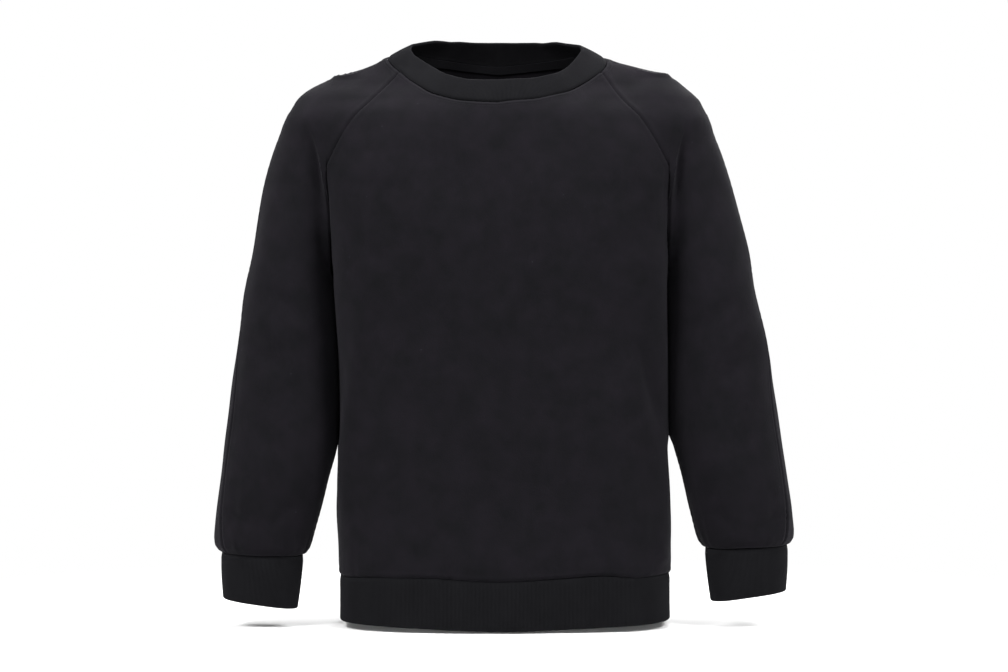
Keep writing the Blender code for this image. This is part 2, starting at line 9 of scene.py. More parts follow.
import bpy
import numpy as np
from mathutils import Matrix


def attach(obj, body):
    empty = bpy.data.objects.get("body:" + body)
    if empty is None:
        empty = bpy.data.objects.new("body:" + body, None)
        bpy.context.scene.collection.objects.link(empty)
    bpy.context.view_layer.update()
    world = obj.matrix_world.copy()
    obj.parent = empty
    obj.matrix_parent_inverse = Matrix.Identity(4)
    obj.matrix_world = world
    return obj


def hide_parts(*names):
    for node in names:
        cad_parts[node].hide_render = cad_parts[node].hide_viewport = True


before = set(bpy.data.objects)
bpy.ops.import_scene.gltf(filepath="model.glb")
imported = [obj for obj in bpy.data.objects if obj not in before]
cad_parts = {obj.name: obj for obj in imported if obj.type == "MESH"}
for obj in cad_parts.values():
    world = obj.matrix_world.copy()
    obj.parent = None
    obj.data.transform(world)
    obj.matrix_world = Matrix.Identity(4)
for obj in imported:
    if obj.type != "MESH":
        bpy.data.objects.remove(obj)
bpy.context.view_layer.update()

bl_info = {
    "name": "Crewneck sweatshirt",
    "version": (1, 0, 0),
    "blender": (4, 5, 0),
    "location": "View3D > Sidebar > Sweatshirt",
    "description": "Builds a hollow crewneck sweatshirt, piece by piece, as it is cut and sewn",
    "category": "Object",
}

# Driving sizes
CLOTH = 0.0020          # thickness of the brushed fleece
RIB = 0.0030            # thickness of a rib band, folded double
TAPE = 0.0010           # thickness of the tape inside the neck
HALF_GAP = 0.00015      # each piece stops this far from its seam line and from the form
UNDERARM = -0.285       # height of the point where the body and sleeve seams meet
HEM_SEAM = -0.646       # height of the seam between the panels and the hem band
HEM_EDGE = -0.699       # height of the garment's lowest edge at its sides
HEM_DIP = 0.007         # the hem hangs this much lower at the front and back than at the sides
NECK_AXIS = 0.004       # the neckline is drawn in angles about an upright line this far behind the origin
NECK_ROUNDING = 0.016   # the neckline is rounded off this far to either side of its middle
TAPE_WIDTH = 0.010
BAND_GAP = 0.0009       # between the neckband and the panels, which meet it at a slant
TAPE_CLEAR = 0.0011     # between the tape and the inner face of the panels
SLEEVE_DROP = 0.0045    # the right sleeve hangs this much lower than the drawn one, the left one higher

BODY_COLUMNS = 160      # cells across the front and back panels
SLEEVE_COLUMNS = 76     # cells across half a sleeve
ROWS_ABOVE = 120        # cells from the neck to the underarm
ROWS_BELOW = 125        # cells from the underarm to the hem or cuff seam

# The torso's level sections are rounded oblongs.
# height, half width, front depth, back depth, power of the rounding
TORSO = (
    (0.016, 0.104, 0.050, 0.070, 1.50),
    (0.008, 0.1200, 0.052, 0.076, 1.45),
    (0.000, 0.136, 0.054, 0.081, 1.40),
    (-0.014, 0.1715, 0.057, 0.087, 1.35),
    (-0.034, 0.2165, 0.066, 0.095, 1.45),
    (-0.055, 0.2395, 0.082, 0.103, 1.75),
    (-0.077, 0.2360, 0.095, 0.109, 2.40),
    (-0.100, 0.2290, 0.103, 0.112, 2.80),
    (-0.120, 0.2235, 0.108, 0.113, 3.10),
    (-0.160, 0.2165, 0.115, 0.114, 3.50),
    (-0.210, 0.2110, 0.120, 0.112, 3.50),
    (-0.285, 0.2076, 0.1215, 0.1085, 3.30),
    (-0.340, 0.2066, 0.121, 0.106, 3.10),
    (-0.460, 0.2060, 0.119, 0.102, 3.00),
    (-0.560, 0.2065, 0.118, 0.102, 3.00),
    (-0.628, 0.2080, 0.119, 0.105, 3.00),
    (-0.640, 0.2075, 0.1185, 0.1045, 3.00),
    (-0.646, 0.2058, 0.1165, 0.1025, 3.00),
)

# A sleeve's level sections are ovals between an inner and an outer edge.
# height, inner edge, outer edge, front, back, power of the rounding
SLEEVE = (
    (-0.028, 0.180, 0.206, -0.004, 0.030, 2.00),
    (-0.045, 0.160, 0.230, -0.030, 0.056, 2.00),
    (-0.060, 0.148, 0.2480, -0.042, 0.072, 2.00),
    (-0.080, 0.142, 0.2650, -0.051, 0.084, 2.05),
    (-0.110, 0.148, 0.2775, -0.058, 0.091, 2.10),
    (-0.150, 0.162, 0.2905, -0.062, 0.093, 2.15),
    (-0.200, 0.182, 0.3025, -0.065, 0.091, 2.20),
    (-0.250, 0.199, 0.3130, -0.068, 0.087, 2.20),
    (-0.285, 0.2076, 0.3192, -0.070, 0.083, 2.20),
    (-0.320, 0.2080, 0.3250, -0.072, 0.078, 2.20),
    (-0.400, 0.2068, 0.3370, -0.075, 0.069, 2.20),
    (-0.4665, 0.2072, 0.3458, -0.079, 0.062, 2.20),
    (-0.529, 0.2208, 0.3531, -0.082, 0.053, 2.20),
    (-0.575, 0.2312, 0.3576, -0.080, 0.043, 2.20),
    (-0.600, 0.2365, 0.3590, -0.077, 0.037, 2.20),
    (-0.620, 0.2410, 0.3580, -0.073, 0.031, 2.20),
    (-0.660, 0.2480, 0.3560, -0.068, 0.026, 2.20),
)

# How softly the sleeve runs into the torso: a round shoulder above, a sharp fold at the armpit.
# height, reach of the blend
BLEND = (
    (0.000, 0.010),
    (-0.045, 0.030),
    (-0.080, 0.030),
    (-0.120, 0.014),
    (-0.170, 0.007),
    (-0.230, 0.004),
    (-0.285, 0.0006),
)

# The neck seam, from the middle of the front round to the middle of the back.
# angle about the neck axis in degrees, height
NECKLINE = (
    (0.0, -0.0650),
    (25.0, -0.0615),
    (45.0, -0.0520),
    (60.0, -0.0390),
    (74.0, -0.0210),
    (88.0, 0.0000),
    (100.0, 0.0070),
    (120.0, 0.0040),
    (180.0, -0.0030),
)
FRONT_RAGLAN_ANGLE = 74.0   # where the front raglan seam leaves the neckline
SHOULDER_ANGLE = 97.0       # where the overarm seam leaves it
BACK_RAGLAN_ANGLE = 126.0   # where the back raglan seam leaves it

# The neckband's folded edge, from the front to the back.
# angle, distance in from the neck seam, rise above the neck seam
NECK_RIM = (
    (0.0, 0.0120, 0.0290),
    (45.0, 0.0165, 0.0250),
    (76.0, 0.0265, 0.0190),
    (97.0, 0.0320, 0.0150),
    (130.0, 0.0225, 0.0210),
    (180.0, 0.0150, 0.0285),
)

# Raglan seams below the neckline, until they drop into the fold of the armpit.
# height, distance from the middle
FRONT_RAGLAN = (
    (-0.0587, 0.1545),
    (-0.0841, 0.1775),
    (-0.1200, 0.2000),
    (-0.1450, 0.2120),
    (-0.1700, 0.2220),
)
BACK_RAGLAN = (
    (-0.0500, 0.1400),
    (-0.0900, 0.1760),
    (-0.1200, 0.1980),
    (-0.1450, 0.2110),
    (-0.1700, 0.2220),
)

# The line inside a sleeve that its rings are square to, from the neck to the cuff seam.
# share of the way, sideways, height, depth
ARM = (
    (0.00, 0.108, -0.040, 0.012),
    (0.15, 0.150, -0.066, 0.013),
    (0.30, 0.196, -0.100, 0.014),
    (0.42, 0.234, -0.160, 0.012),
    (0.55, 0.2636, -0.280, 0.006),
    (0.75, 0.2760, -0.440, -0.008),
    (0.90, 0.2925, -0.570, -0.018),
    (1.00, 0.2945, -0.6145, -0.0215),
)
ARM_UNDERARM = 0.55     # share of that way at the underarm point

# How far the overarm seam is turned to the front of the sleeve's outer edge.
# share of the way, degrees
OVERARM = (
    (0.00, 0.0),
    (0.30, 2.0),
    (0.45, 12.0),
    (0.60, 24.0),
    (0.80, 32.0),
    (1.00, 36.0),
)

# A sleeve closes in to its cuff over the last stretch.
# share of the way, size beside the sleeve's own sections
CUFF_DRAW = (
    (0.955, 1.000),
    (0.978, 0.985),
    (0.992, 0.930),
    (1.000, 0.875),
)
CUFF_LENGTH = 0.061
CUFF_TAPER = 0.91       # the cuff's lower edge beside its seam
CUFF_TILT = 0.0045      # the cuff's lower edge rises this much at its outer side

# The garment hangs a little askew.
# height, shift to the garment's left
HANG = (
    (0.000, 0.0000),
    (-0.022, 0.0050),
    (-0.050, 0.0025),
    (-0.090, 0.0012),
    (-0.129, 0.0024),
    (-0.240, 0.0040),
    (-0.380, 0.0077),
    (-0.530, 0.0095),
    (-0.710, 0.0096),
)

# The hem seam rides up in soft waves, seen along the front; the back has the same ones the other way.
# distance from the middle, rise
HEM_WAVE = (
    (-0.210, 0.0000),
    (-0.155, 0.0040),
    (-0.090, 0.0045),
    (-0.010, 0.0005),
    (0.055, 0.0028),
    (0.120, 0.0065),
    (0.165, 0.0035),
    (0.205, 0.0045),
)
HEM_WAVE_REACH = 0.030  # the waves fade out this far above and below the seam

# Looks
RIB_PITCH = 0.0016      # from one rib to the next
SEAM_DEPTH = 0.0010     # a seam sinks this far into the cloth
PUCKER_PITCH = 0.0085   # from one pucker to the next along a seam
HEM_GATHER = 0.018      # from one gather to the next above the hem band
CUFF_GATHER = 0.014     # the same above a cuff
STITCH_ROWS = (0.0020, 0.0065)  # distances of the two stitch rows from the neck seam
STITCH_SPACING = 0.0032
STITCH_LENGTH = 0.0026
THREAD_RADIUS = 0.0002
FLOOR_HEIGHT = -0.708
LENS_MM = 91.43

# Soft troughs and ridges of the front, as lines seen from the front.
# top x, top z, bottom x, bottom z, bow, width, height
FRONT_CREASES = (
    (-0.158, -0.260, -0.205, -0.640, 0.006, 0.016, 0.0045),
    (-0.180, -0.270, -0.222, -0.620, 0.004, 0.014, -0.0040),
    (0.166, -0.340, 0.196, -0.470, 0.000, 0.010, -0.0040),
    (0.150, -0.360, 0.183, -0.500, 0.000, 0.014, 0.0020),
    (0.162, -0.515, 0.171, -0.615, 0.000, 0.008, 0.0028),
    (0.188, -0.600, 0.200, -0.634, 0.000, 0.006, 0.0020),
    (-0.200, -0.200, -0.130, -0.270, 0.004, 0.012, -0.0016),
    (0.200, -0.200, 0.130, -0.262, -0.004, 0.013, -0.0015),
    (-0.186, -0.150, -0.110, -0.180, 0.003, 0.015, -0.0010),
    (0.090, -0.560, 0.120, -0.640, 0.002, 0.012, -0.0014),
    (-0.080, -0.575, -0.105, -0.640, 0.002, 0.013, -0.0013),
)
BACK_CREASES = (
    (0.150, -0.250, 0.196, -0.600, -0.005, 0.016, 0.0040),
    (0.172, -0.280, 0.212, -0.610, -0.004, 0.014, -0.0038),
    (-0.160, -0.330, -0.192, -0.500, 0.003, 0.012, -0.0036),
    (-0.140, -0.350, -0.176, -0.480, 0.002, 0.014, 0.0020),
    (-0.196, -0.190, -0.120, -0.285, 0.005, 0.013, -0.0020),
    (0.196, -0.205, 0.128, -0.290, -0.004, 0.012, -0.0018),
    (-0.060, -0.120, 0.070, -0.135, 0.006, 0.018, -0.0014),
    (0.020, -0.560, 0.034, -0.640, 0.002, 0.012, -0.0016),
    (-0.110, -0.570, -0.096, -0.640, 0.002, 0.011, 0.0014),
)
# The same for the front and back of the sleeve on the +X side; the other sleeve's lie a little higher.
SLEEVE_FRONT_CREASES = (
    (0.296, -0.160, 0.250, -0.225, 0.004, 0.012, -0.0018),
    (0.292, -0.300, 0.236, -0.352, 0.004, 0.009, -0.0024),
    (0.322, -0.352, 0.258, -0.410, -0.004, 0.011, -0.0028),
    (0.310, -0.330, 0.262, -0.378, 0.002, 0.010, 0.0018),
    (0.330, -0.430, 0.286, -0.512, 0.004, 0.013, -0.0020),
    (0.346, -0.566, 0.306, -0.596, 0.002, 0.007, -0.0020),
    (0.250, -0.560, 0.286, -0.598, -0.002, 0.008, -0.0018),
    (0.328, -0.530, 0.334, -0.600, 0.001, 0.006, -0.0014),
)
SLEEVE_BACK_CREASES = (
    (0.286, -0.150, 0.238, -0.236, 0.004, 0.014, -0.0020),
    (0.326, -0.345, 0.262, -0.372, 0.004, 0.010, -0.0024),
    (0.334, -0.405, 0.262, -0.440, -0.003, 0.012, -0.0026),
    (0.300, -0.470, 0.330, -0.545, 0.003, 0.012, 0.0018),
    (0.262, -0.556, 0.300, -0.598, 0.002, 0.008, -0.0018),
)
# The deep fold from the shoulder down to the armpit, on the sleeve.
# height, distance from the middle
ARMPIT_FOLD = (
    (-0.077, 0.2340),
    (-0.120, 0.2215),
    (-0.160, 0.2150),
    (-0.212, 0.2095),
    (-0.268, 0.2065),
)

# The finishes.
# dark tone, light tone, pitch of the knit's lines, share of the tone that follows them as painted shade (darker in
# their grooves, lighter on their crests), specks of lint
FINISHES = {
    "fleece": ("#0a0a0c", "#110f13", 0.0012, 0.12, True),
    # The rib's tone lines run at the rib pitch, in step with the ribs' own relief: painted shade in the grooves
    # between the ribs, lighter on their crests.
    "rib": ("#040405", "#141416", RIB_PITCH, 0.75, False),
    "tape": ("#0c0c0e", "#101012", 0.0009, 0.60, False),
}
THREAD_TONE = "#1a1a1d"
LINT_TONE = "#34343a"


def curve(table, at):
    """The columns of a table at places in its first column, along smooth curves that never overshoot."""
    rows = np.array(sorted(table))
    place, value = rows[:, 0], rows[:, 1:]
    step = np.diff(place)[:, None]
    slope = np.diff(value, axis=0) / step
    same = slope[1:] * slope[:-1] > 0
    total = np.where(same, slope[1:] + slope[:-1], 1.0)
    middle = np.where(same, 2 * slope[1:] * slope[:-1] / total, 0.0)
    tangent = np.vstack([slope[:1], middle, slope[-1:]])
    at = np.clip(np.asarray(at, float), place[0], place[-1])
    k = np.clip(np.searchsorted(place, at, side="right") - 1, 0, len(step) - 1)
    t = ((at - place[k]) / step[k, 0])[..., None]
    out = value[k] * (1 + 2 * t) * (1 - t) ** 2 + value[k + 1] * t * t * (3 - 2 * t)
    out = out + step[k] * (tangent[k] * t * (1 - t) ** 2 + tangent[k + 1] * t * t * (t - 1))
    return np.moveaxis(out, -1, 0)


def torso_field(p):
    """Below zero inside the torso, above zero outside it, in about metres."""
    half, front, back, power = curve(TORSO, p[..., 2])
    depth = np.where(p[..., 1] < 0, front, back)
    across = np.hypot(p[..., 0], NECK_ROUNDING) / half
    deep = np.abs(p[..., 1]) / depth
    level = ((across**power + deep**power) ** (1 / power) - 1) * np.minimum(half, depth)
    return np.maximum(level, p[..., 2] - TORSO[0][0])


def sleeve_field(p):
    """The same for the sleeve on the +X side."""
    inner, outer, front, back, power = curve(SLEEVE, p[..., 2])
    across = np.abs(p[..., 0] - (inner + outer) / 2) / ((outer - inner) / 2)
    deep = np.abs(p[..., 1] - (front + back) / 2) / ((back - front) / 2)
    size = np.minimum(outer - inner, back - front) / 2
    level = ((across**power + deep**power) ** (1 / power) - 1) * size
    return np.maximum(level, p[..., 2] - SLEEVE[0][0])


def whole_field(p):
    """The torso and the +X sleeve run together, with the blend of each height."""
    reach = curve(BLEND, p[..., 2])[0]
    a = torso_field(p)
    b = sleeve_field(p)
    h = np.clip(0.5 + 0.5 * (b - a) / reach, 0, 1)
    return b * (1 - h) + a * h - reach * h * (1 - h)


def cast(field, start, way, nearest, furthest, marches=140):
    """The points where rays from inside a form first leave it."""
    start, way = np.broadcast_arrays(start, way)
    distance = np.full(start.shape[:-1], float(nearest))
    stride = (furthest - nearest) / marches
    going = np.ones(distance.shape, bool)
    for _ in range(marches):
        ahead = distance + stride
        going = going & (field(start + way * ahead[..., None]) < 0)
        distance = np.where(going, ahead, distance)
    low, high = distance, distance + stride
    for _ in range(28):
        mid = (low + high) / 2
        inside = field(start + way * mid[..., None]) < 0
        low = np.where(inside, mid, low)
        high = np.where(inside, high, mid)
    return start + way * low[..., None]


def outward(field, p):
    """The direction square to a form's surface."""
    eps = 0.0004
    shifts = np.eye(3) * eps
    slope = np.stack([field(p + s) - field(p - s) for s in shifts], axis=-1)
    return slope / np.linalg.norm(slope, axis=-1, keepdims=True)


def neck_point(angle):
    """Points of the neck seam at angles in degrees, from 0 at the front to 180 at the back."""
    angle = np.asarray(angle, float)
    height = curve(NECKLINE, angle)[0]
    start = np.stack([0 * angle, NECK_AXIS + 0 * angle, height], axis=-1)
    turn = np.radians(angle)
    way = np.stack([np.sin(turn), -np.cos(turn), 0 * angle], axis=-1)
    return cast(whole_field, start, way, 0.02, 0.20)


def armpit(height, side):
    """Where the outlines of torso and sleeve cross, level by level: distance from the middle and depth."""
    half, front, back, power = curve(TORSO, height)
    inner, outer, s_front, s_back, s_power = curve(SLEEVE, height)
    depth = np.where(side < 0, front, back)

    def lap(y):
        torso = half * np.clip(1 - (y / depth) ** power, 0, 1) ** (1 / power)
        deep = np.abs(side * y - (s_front + s_back) / 2) / ((s_back - s_front) / 2)
        bulge = np.clip(1 - deep**s_power, 0, 1) ** (1 / s_power)
        sleeve = (inner + outer) / 2 - (outer - inner) / 2 * bulge
        return torso - sleeve, torso

    low = np.zeros_like(height)
    high = low + 0.125
    for _ in range(40):
        mid = (low + high) / 2
        over = lap(mid)[0] > 0
        low = np.where(over, mid, low)
        high = np.where(over, high, mid)
    return lap(low)[1], side * low


def raglan_seam(share, side):
    """Points of the front (side -1) or back (side +1) raglan seam, from the neckline (0) to the underarm (1)."""
    share = np.asarray(share, float)
    angle, table = (FRONT_RAGLAN_ANGLE, FRONT_RAGLAN) if side < 0 else (BACK_RAGLAN_ANGLE, BACK_RAGLAN)
    top = neck_point(angle)
    height = top[2] + (UNDERARM - top[2]) * share
    drawn = curve(((top[2], top[0]), *table), height)[0]
    fold_x, fold_y = armpit(height, side)
    x = np.minimum(drawn, fold_x)
    inside = np.where(drawn < fold_x, 0.010, fold_y)
    start = np.stack([x, inside, height], axis=-1)
    found = cast(whole_field, start, np.array([0.0, float(side), 0.0]), 0.0, 0.16)
    at_point = share >= 1
    found[at_point] = (curve(TORSO, UNDERARM)[0], 0.0, UNDERARM)
    return found


def seam_shares(rows):
    """Places along a raglan seam, closer together towards the neck and the underarm."""
    return 0.5 + np.sin((np.linspace(0, 1, rows + 1) - 0.5) * 2.6) / (2 * math.sin(1.3))


def hem_shares(rows):
    """Places from the underarm down, closer together towards the hem or cuff seam."""
    even = np.linspace(0, 1, rows + 1)[1:]
    return 0.35 * even + 0.65 * (1 - (1 - even) ** 2.2)


def closer_to_ends(cells, strip):
    """Places from -1 to 1, closer together towards the ends, with a strip of its own size at each."""
    inner = np.sin(np.linspace(-1, 1, cells - 1) * 1.25) / math.sin(1.25) * (1 - strip)
    return np.array([-1, *inner, 1])


def sleeve_columns(columns):
    """Shares of the way across half a sleeve."""
    return (closer_to_ends(columns, 0.016) + 1) / 2


def body_columns(columns):
    """Shares of the way across a body panel, from -1 to 1."""
    return closer_to_ends(columns, 0.006)


def body_grid(side, columns, rows_above, rows_below):
    """Points of the front or back panel, a row for each level, on the form and up to its seams."""
    above = raglan_seam(seam_shares(rows_above), side)
    height = UNDERARM + (HEM_SEAM - UNDERARM) * hem_shares(rows_below)
    below = np.stack([curve(TORSO, height)[0], 0 * height, height], axis=-1)
    seam = np.concatenate([above, below])
    middle = 0.0 if side < 0 else 180.0
    corner = FRONT_RAGLAN_ANGLE if side < 0 else BACK_RAGLAN_ANGLE
    across = body_columns(columns)
    neck = curve(NECKLINE, middle + (corner - middle) * np.abs(across))[0]
    fade = np.clip((seam[:, 2] - UNDERARM) / (seam[0, 2] - UNDERARM), 0, 1) ** 1.4
    level = seam[:, None, 2] + (neck - seam[0, 2]) * fade[:, None]
    axis = NECK_AXIS * fade[:, None] + 0 * level
    edge_turn = np.arctan2(seam[:, 0], side * (seam[:, 1] - axis[:, 0]))
    turn = edge_turn[:, None] * across
    start = np.stack([0 * level, axis, level], axis=-1)
    way = np.stack([np.sin(np.abs(turn)), side * np.cos(turn), 0 * turn], axis=-1)
    found = cast(whole_field, start, way, 0.02, 0.30)
    alone = cast(torso_field, start, way, 0.02, 0.30)
    slack = curve(BLEND, level)[0] * 0.6
    far = np.linalg.norm(found - alone, axis=-1) > slack
    low = level <= UNDERARM
    found = np.where((far | low)[..., None], alone, found)
    found[:, 0] = seam
    found[:, -1] = seam
    found[..., 0] *= np.sign(across)
    return found


def arm_frames(share):
    """Middle point, way along, outward way of a sleeve's rings."""
    x, z, y = curve(ARM, share)
    centre = np.stack([x, y, z], axis=-1)
    ahead = np.stack(curve(ARM, share + 0.01), axis=-1)[..., [0, 2, 1]]
    behind = np.stack(curve(ARM, share - 0.01), axis=-1)[..., [0, 2, 1]]
    along = ahead - behind
    along[..., 1] = 0
    along /= np.linalg.norm(along, axis=-1, keepdims=True)
    out = np.stack([-along[..., 2], 0 * share, along[..., 0]], axis=-1)
    return centre, along, out


def bearing(point, centre, along, out):
    """A point's angle round a sleeve's ring, to the front from its outer edge, and its lift along the sleeve."""
    way = point - centre
    way /= np.linalg.norm(way, axis=-1, keepdims=True)
    turn = np.arctan2(-way[..., 1], (way * out).sum(-1))
    lift = np.arcsin(np.clip((way * along).sum(-1), -1, 1))
    return turn, lift


def sleeve_grid(side, columns, rows_above, rows_below):
    """Points of the front or back half of the +X sleeve, from the neck to the cuff seam."""
    seam_share = seam_shares(rows_above)
    below = hem_shares(rows_below)
    share = np.concatenate([seam_share * ARM_UNDERARM, ARM_UNDERARM + (1 - ARM_UNDERARM) * below])
    centre, along, out = arm_frames(share)
    seam = raglan_seam(seam_share, side)
    turn_in, lift_in = bearing(seam, centre[: rows_above + 1], along[: rows_above + 1], out[: rows_above + 1])
    turn_in[-1] = -side * math.pi
    edge_turn = np.concatenate([turn_in, np.full(rows_below, -side * math.pi)])
    edge_lift = np.concatenate([lift_in, np.zeros(rows_below)])
    underarm_lift = lift_in[-1]
    ease = np.clip(1 - (share[rows_above + 1 :] - ARM_UNDERARM) / 0.12, 0, 1) ** 2
    edge_lift[rows_above + 1 :] = underarm_lift * ease
    f = sleeve_columns(columns)
    top = np.radians(curve(OVERARM, share)[0])
    turn = top[:, None] + (edge_turn - top)[:, None] * f
    lift = edge_lift[:, None] * f**2
    corner = FRONT_RAGLAN_ANGLE if side < 0 else BACK_RAGLAN_ANGLE
    neck = neck_point(SHOULDER_ANGLE + (corner - SHOULDER_ANGLE) * f)
    neck_turn, neck_lift = bearing(neck, centre[0], along[0], out[0])
    fade = np.clip(1 - share / 0.3, 0, 1)[:, None] ** 2
    turn = turn + (neck_turn - turn[0]) * fade
    lift = lift + (neck_lift - lift[0]) * fade
    flat = np.cos(lift)[..., None]
    way = flat * np.cos(turn)[..., None] * out[:, None] + np.sin(lift)[..., None] * along[:, None]
    way = way - flat * np.sin(turn)[..., None] * np.array([0.0, 1.0, 0.0])
    start = np.broadcast_to(centre[:, None], way.shape)
    whole = cast(whole_field, start, way, 0.005, 0.16)
    alone = cast(sleeve_field, start, way, 0.005, 0.16)
    level = whole[..., 2]
    slack = np.where(level < -0.15, curve(BLEND, level)[0] * 0.6, 1.0)
    far = np.linalg.norm(whole - alone, axis=-1) > slack
    low = (share > ARM_UNDERARM)[:, None] | (alone[..., 2] < UNDERARM)
    found = np.where((far | low)[..., None], alone, whole)
    draw = curve(CUFF_DRAW, share)[0][:, None, None]
    found = start + (found - start) * draw
    found[: rows_above + 1, -1] = seam
    found[0] = neck
    return found


def drape(points, side=0):
    """The points as the garment hangs: askew, wavy at the hem, one sleeve a little lower than the other."""
    out = np.array(points)
    if side:
        share = np.clip((UNDERARM + 0.05 - out[..., 2]) / 0.35, 0, 1)
        out[..., 2] += side * SLEEVE_DROP * share**1.5
    else:
        front = np.clip(0.5 - out[..., 1] / 0.12, 0, 1)
        rise = curve(HEM_WAVE, out[..., 0])[0] * front + curve(HEM_WAVE, -out[..., 0])[0] * (1 - front)
        out[..., 2] += rise * np.exp(-(((points[..., 2] - HEM_SEAM) / HEM_WAVE_REACH) ** 2))
    out[..., 0] += curve(HANG, points[..., 2])[0]
    return out


def inset(grid):
    """The grid with its four edges moved in from their seams by half the gap, square to the seams."""
    out = np.array(grid)
    edges = (
        (np.s_[:, 0], np.s_[:, 1]),
        (np.s_[:, -1], np.s_[:, -2]),
        (np.s_[0], np.s_[1]),
        (np.s_[-1], np.s_[-2]),
    )
    for edge, beside in edges:
        line = out[edge]
        across = out[beside] - line
        across /= np.linalg.norm(across, axis=-1, keepdims=True)
        run = np.gradient(line, axis=0)
        run /= np.linalg.norm(run, axis=-1, keepdims=True)
        square = np.sqrt(np.clip(1 - (across * run).sum(-1) ** 2, 0.06, 1))
        out[edge] = line + across * (HALF_GAP / square)[..., None]
    return out


def wall_way(points, own_field):
    """The way out through a panel's wall, the same for both panels of a seam so that their edges keep apart."""
    share = np.clip((points[..., 2] - UNDERARM - 0.03) / 0.05, 0, 1)[..., None]
    way = share * outward(whole_field, points) + (1 - share) * outward(own_field, points)
    return way / np.linalg.norm(way, axis=-1, keepdims=True)


def mirror(points):
    return points * np.array([-1.0, 1.0, 1.0])


def oblong(half, front, back, power, turn):
    """A level outline of the torso at angles from the front."""
    s, c = np.sin(turn), -np.cos(turn)
    depth = np.where(c < 0, front, back)
    size = (np.abs(s / half) ** power + np.abs(c / depth) ** power) ** (-1 / power)
    return s * size, c * size


def smooth(t):
    """An even rise from 0 to 1 that is level at both ends."""
    t = np.clip(t, 0, 1)
    return t * t * (3 - 2 * t)


def lengths(grid, axis):
    """Running length along the rows (axis 1) or the columns (axis 0) of a grid of points."""
    step = np.linalg.norm(np.diff(grid, axis=axis), axis=-1)
    return np.cumsum(np.insert(step, 0, 0.0, axis=axis), axis=axis)


def slant(line, beside):
    """How squarely the cells beside an edge of a grid meet it, from 0 to 1."""
    way = beside - line
    way /= np.linalg.norm(way, axis=-1, keepdims=True)
    run = np.gradient(line, axis=0)
    run /= np.linalg.norm(run, axis=-1, keepdims=True)
    return np.sqrt(np.clip(1 - (way * run).sum(-1) ** 2, 0.1, 1))


def edge_distances(grid):
    """Each point's distance from the first and last column and from the first and last row."""
    across, down = lengths(grid, 1), lengths(grid, 0)
    first = across * slant(grid[:, 0], grid[:, 1])[:, None]
    last = (across[:, -1:] - across) * slant(grid[:, -1], grid[:, -2])[:, None]
    top = down * slant(grid[0], grid[1])
    bottom = (down[-1:] - down) * slant(grid[-1], grid[-2])
    return first, last, top, bottom


def ripple(points):
    """Slow and quick unevenness of the cloth, the same on both sides of every seam."""
    rng = np.random.default_rng(11)
    total = 0 * points[..., 0]
    for wavelength, height, waves in ((0.17, 0.0013, 7), (0.085, 0.0005, 7), (0.045, 0.00022, 9)):
        for _ in range(waves):
            way = rng.normal(size=3) * (1.0, 0.6, 0.55)
            way /= np.linalg.norm(way)
            size = wavelength * rng.uniform(0.75, 1.35)
            total = total + height / math.sqrt(waves / 2) * np.sin(points @ way * math.tau / size + rng.uniform(0, 6))
    return total * bpy.context.scene.sweatshirt.unevenness


def creases(points, table, lift=0.0):
    """Soft troughs and ridges along the lines of a table, moved up by a lift."""
    x, z = points[..., 0], points[..., 2] - lift
    total = 0 * x
    for top_x, top_z, bottom_x, bottom_z, bow, width, height in table:
        length = math.hypot(bottom_x - top_x, bottom_z - top_z)
        run_x, run_z = (bottom_x - top_x) / length, (bottom_z - top_z) / length
        along = ((x - top_x) * run_x + (z - top_z) * run_z) / length
        off = (x - top_x) * run_z - (z - top_z) * run_x - bow * 4 * along * (1 - along)
        total = total + height * np.exp(-((off / width) ** 2)) * smooth(along / 0.3) * smooth((1 - along) / 0.3)
    return total * bpy.context.scene.sweatshirt.crease_depth


def armpit_fold(points, depth):
    """The sleeve sinks away outside the armpit fold and swells a little inside it."""
    off = points[..., 0] - curve(ARMPIT_FOLD, points[..., 2])[0]
    size = depth * smooth((-0.077 - points[..., 2]) / 0.083) * smooth((points[..., 2] + 0.290) / 0.060)
    outer = -np.exp(-np.clip(off, 0, 1) / 0.016) * smooth(off / 0.004)
    inner = 0.3 * np.exp(np.clip(off, -1, 0) / 0.012)
    return size * np.where(off > 0, outer, inner)


def contact(points, edge):
    """Where a sleeve and the body bear on each other below the armpit, from 0 to 1; edge is theirs, by level."""
    near = np.exp(-(((np.abs(points[..., 0]) - edge) / 0.007) ** 2))
    return near * smooth((-0.266 - points[..., 2]) / 0.02) * smooth((points[..., 2] + 0.490) / 0.02)


def seam_relief(distance, along):
    """The groove of a seam, the ridge of its allowance beside it and the puckers along it."""
    puckers = np.sin(along * math.tau / PUCKER_PITCH) * (0.6 + 0.4 * np.sin(along * math.tau / 0.061))
    groove = -SEAM_DEPTH * np.exp(-((distance / 0.0016) ** 2))
    ridge = 0.0005 * np.exp(-(((distance - 0.0045) / 0.003) ** 2))
    return groove + ridge + 0.0003 * puckers * np.exp(-distance / 0.008)


def cover_relief(distance):
    """Two rows of stitches draw the cloth in below the neck seam."""
    rows = [np.exp(-(((distance - place) / 0.0007) ** 2)) for place in STITCH_ROWS]
    return 0.0003 * np.exp(-(((distance - 0.0042) / 0.0025) ** 2)) - 0.00028 * sum(rows)


def gathers(distance, along, pitch, height):
    """Small uneven gathers where the cloth is drawn in to a band."""
    waves = np.sin(along * math.tau / pitch) + 0.6 * np.sin(along * math.tau / (pitch * 0.63) + 1.0)
    drift = 0.6 + 0.4 * np.sin(along * math.tau / 0.11 + 2.0)
    return height * waves * drift * np.exp(-distance / 0.020) * smooth(distance / 0.002)


def clear_of(distances, reach):
    """From 0 at any of the edges to 1 well away from them."""
    return 1 - np.exp(-((np.minimum.reduce(distances) / reach) ** 2))


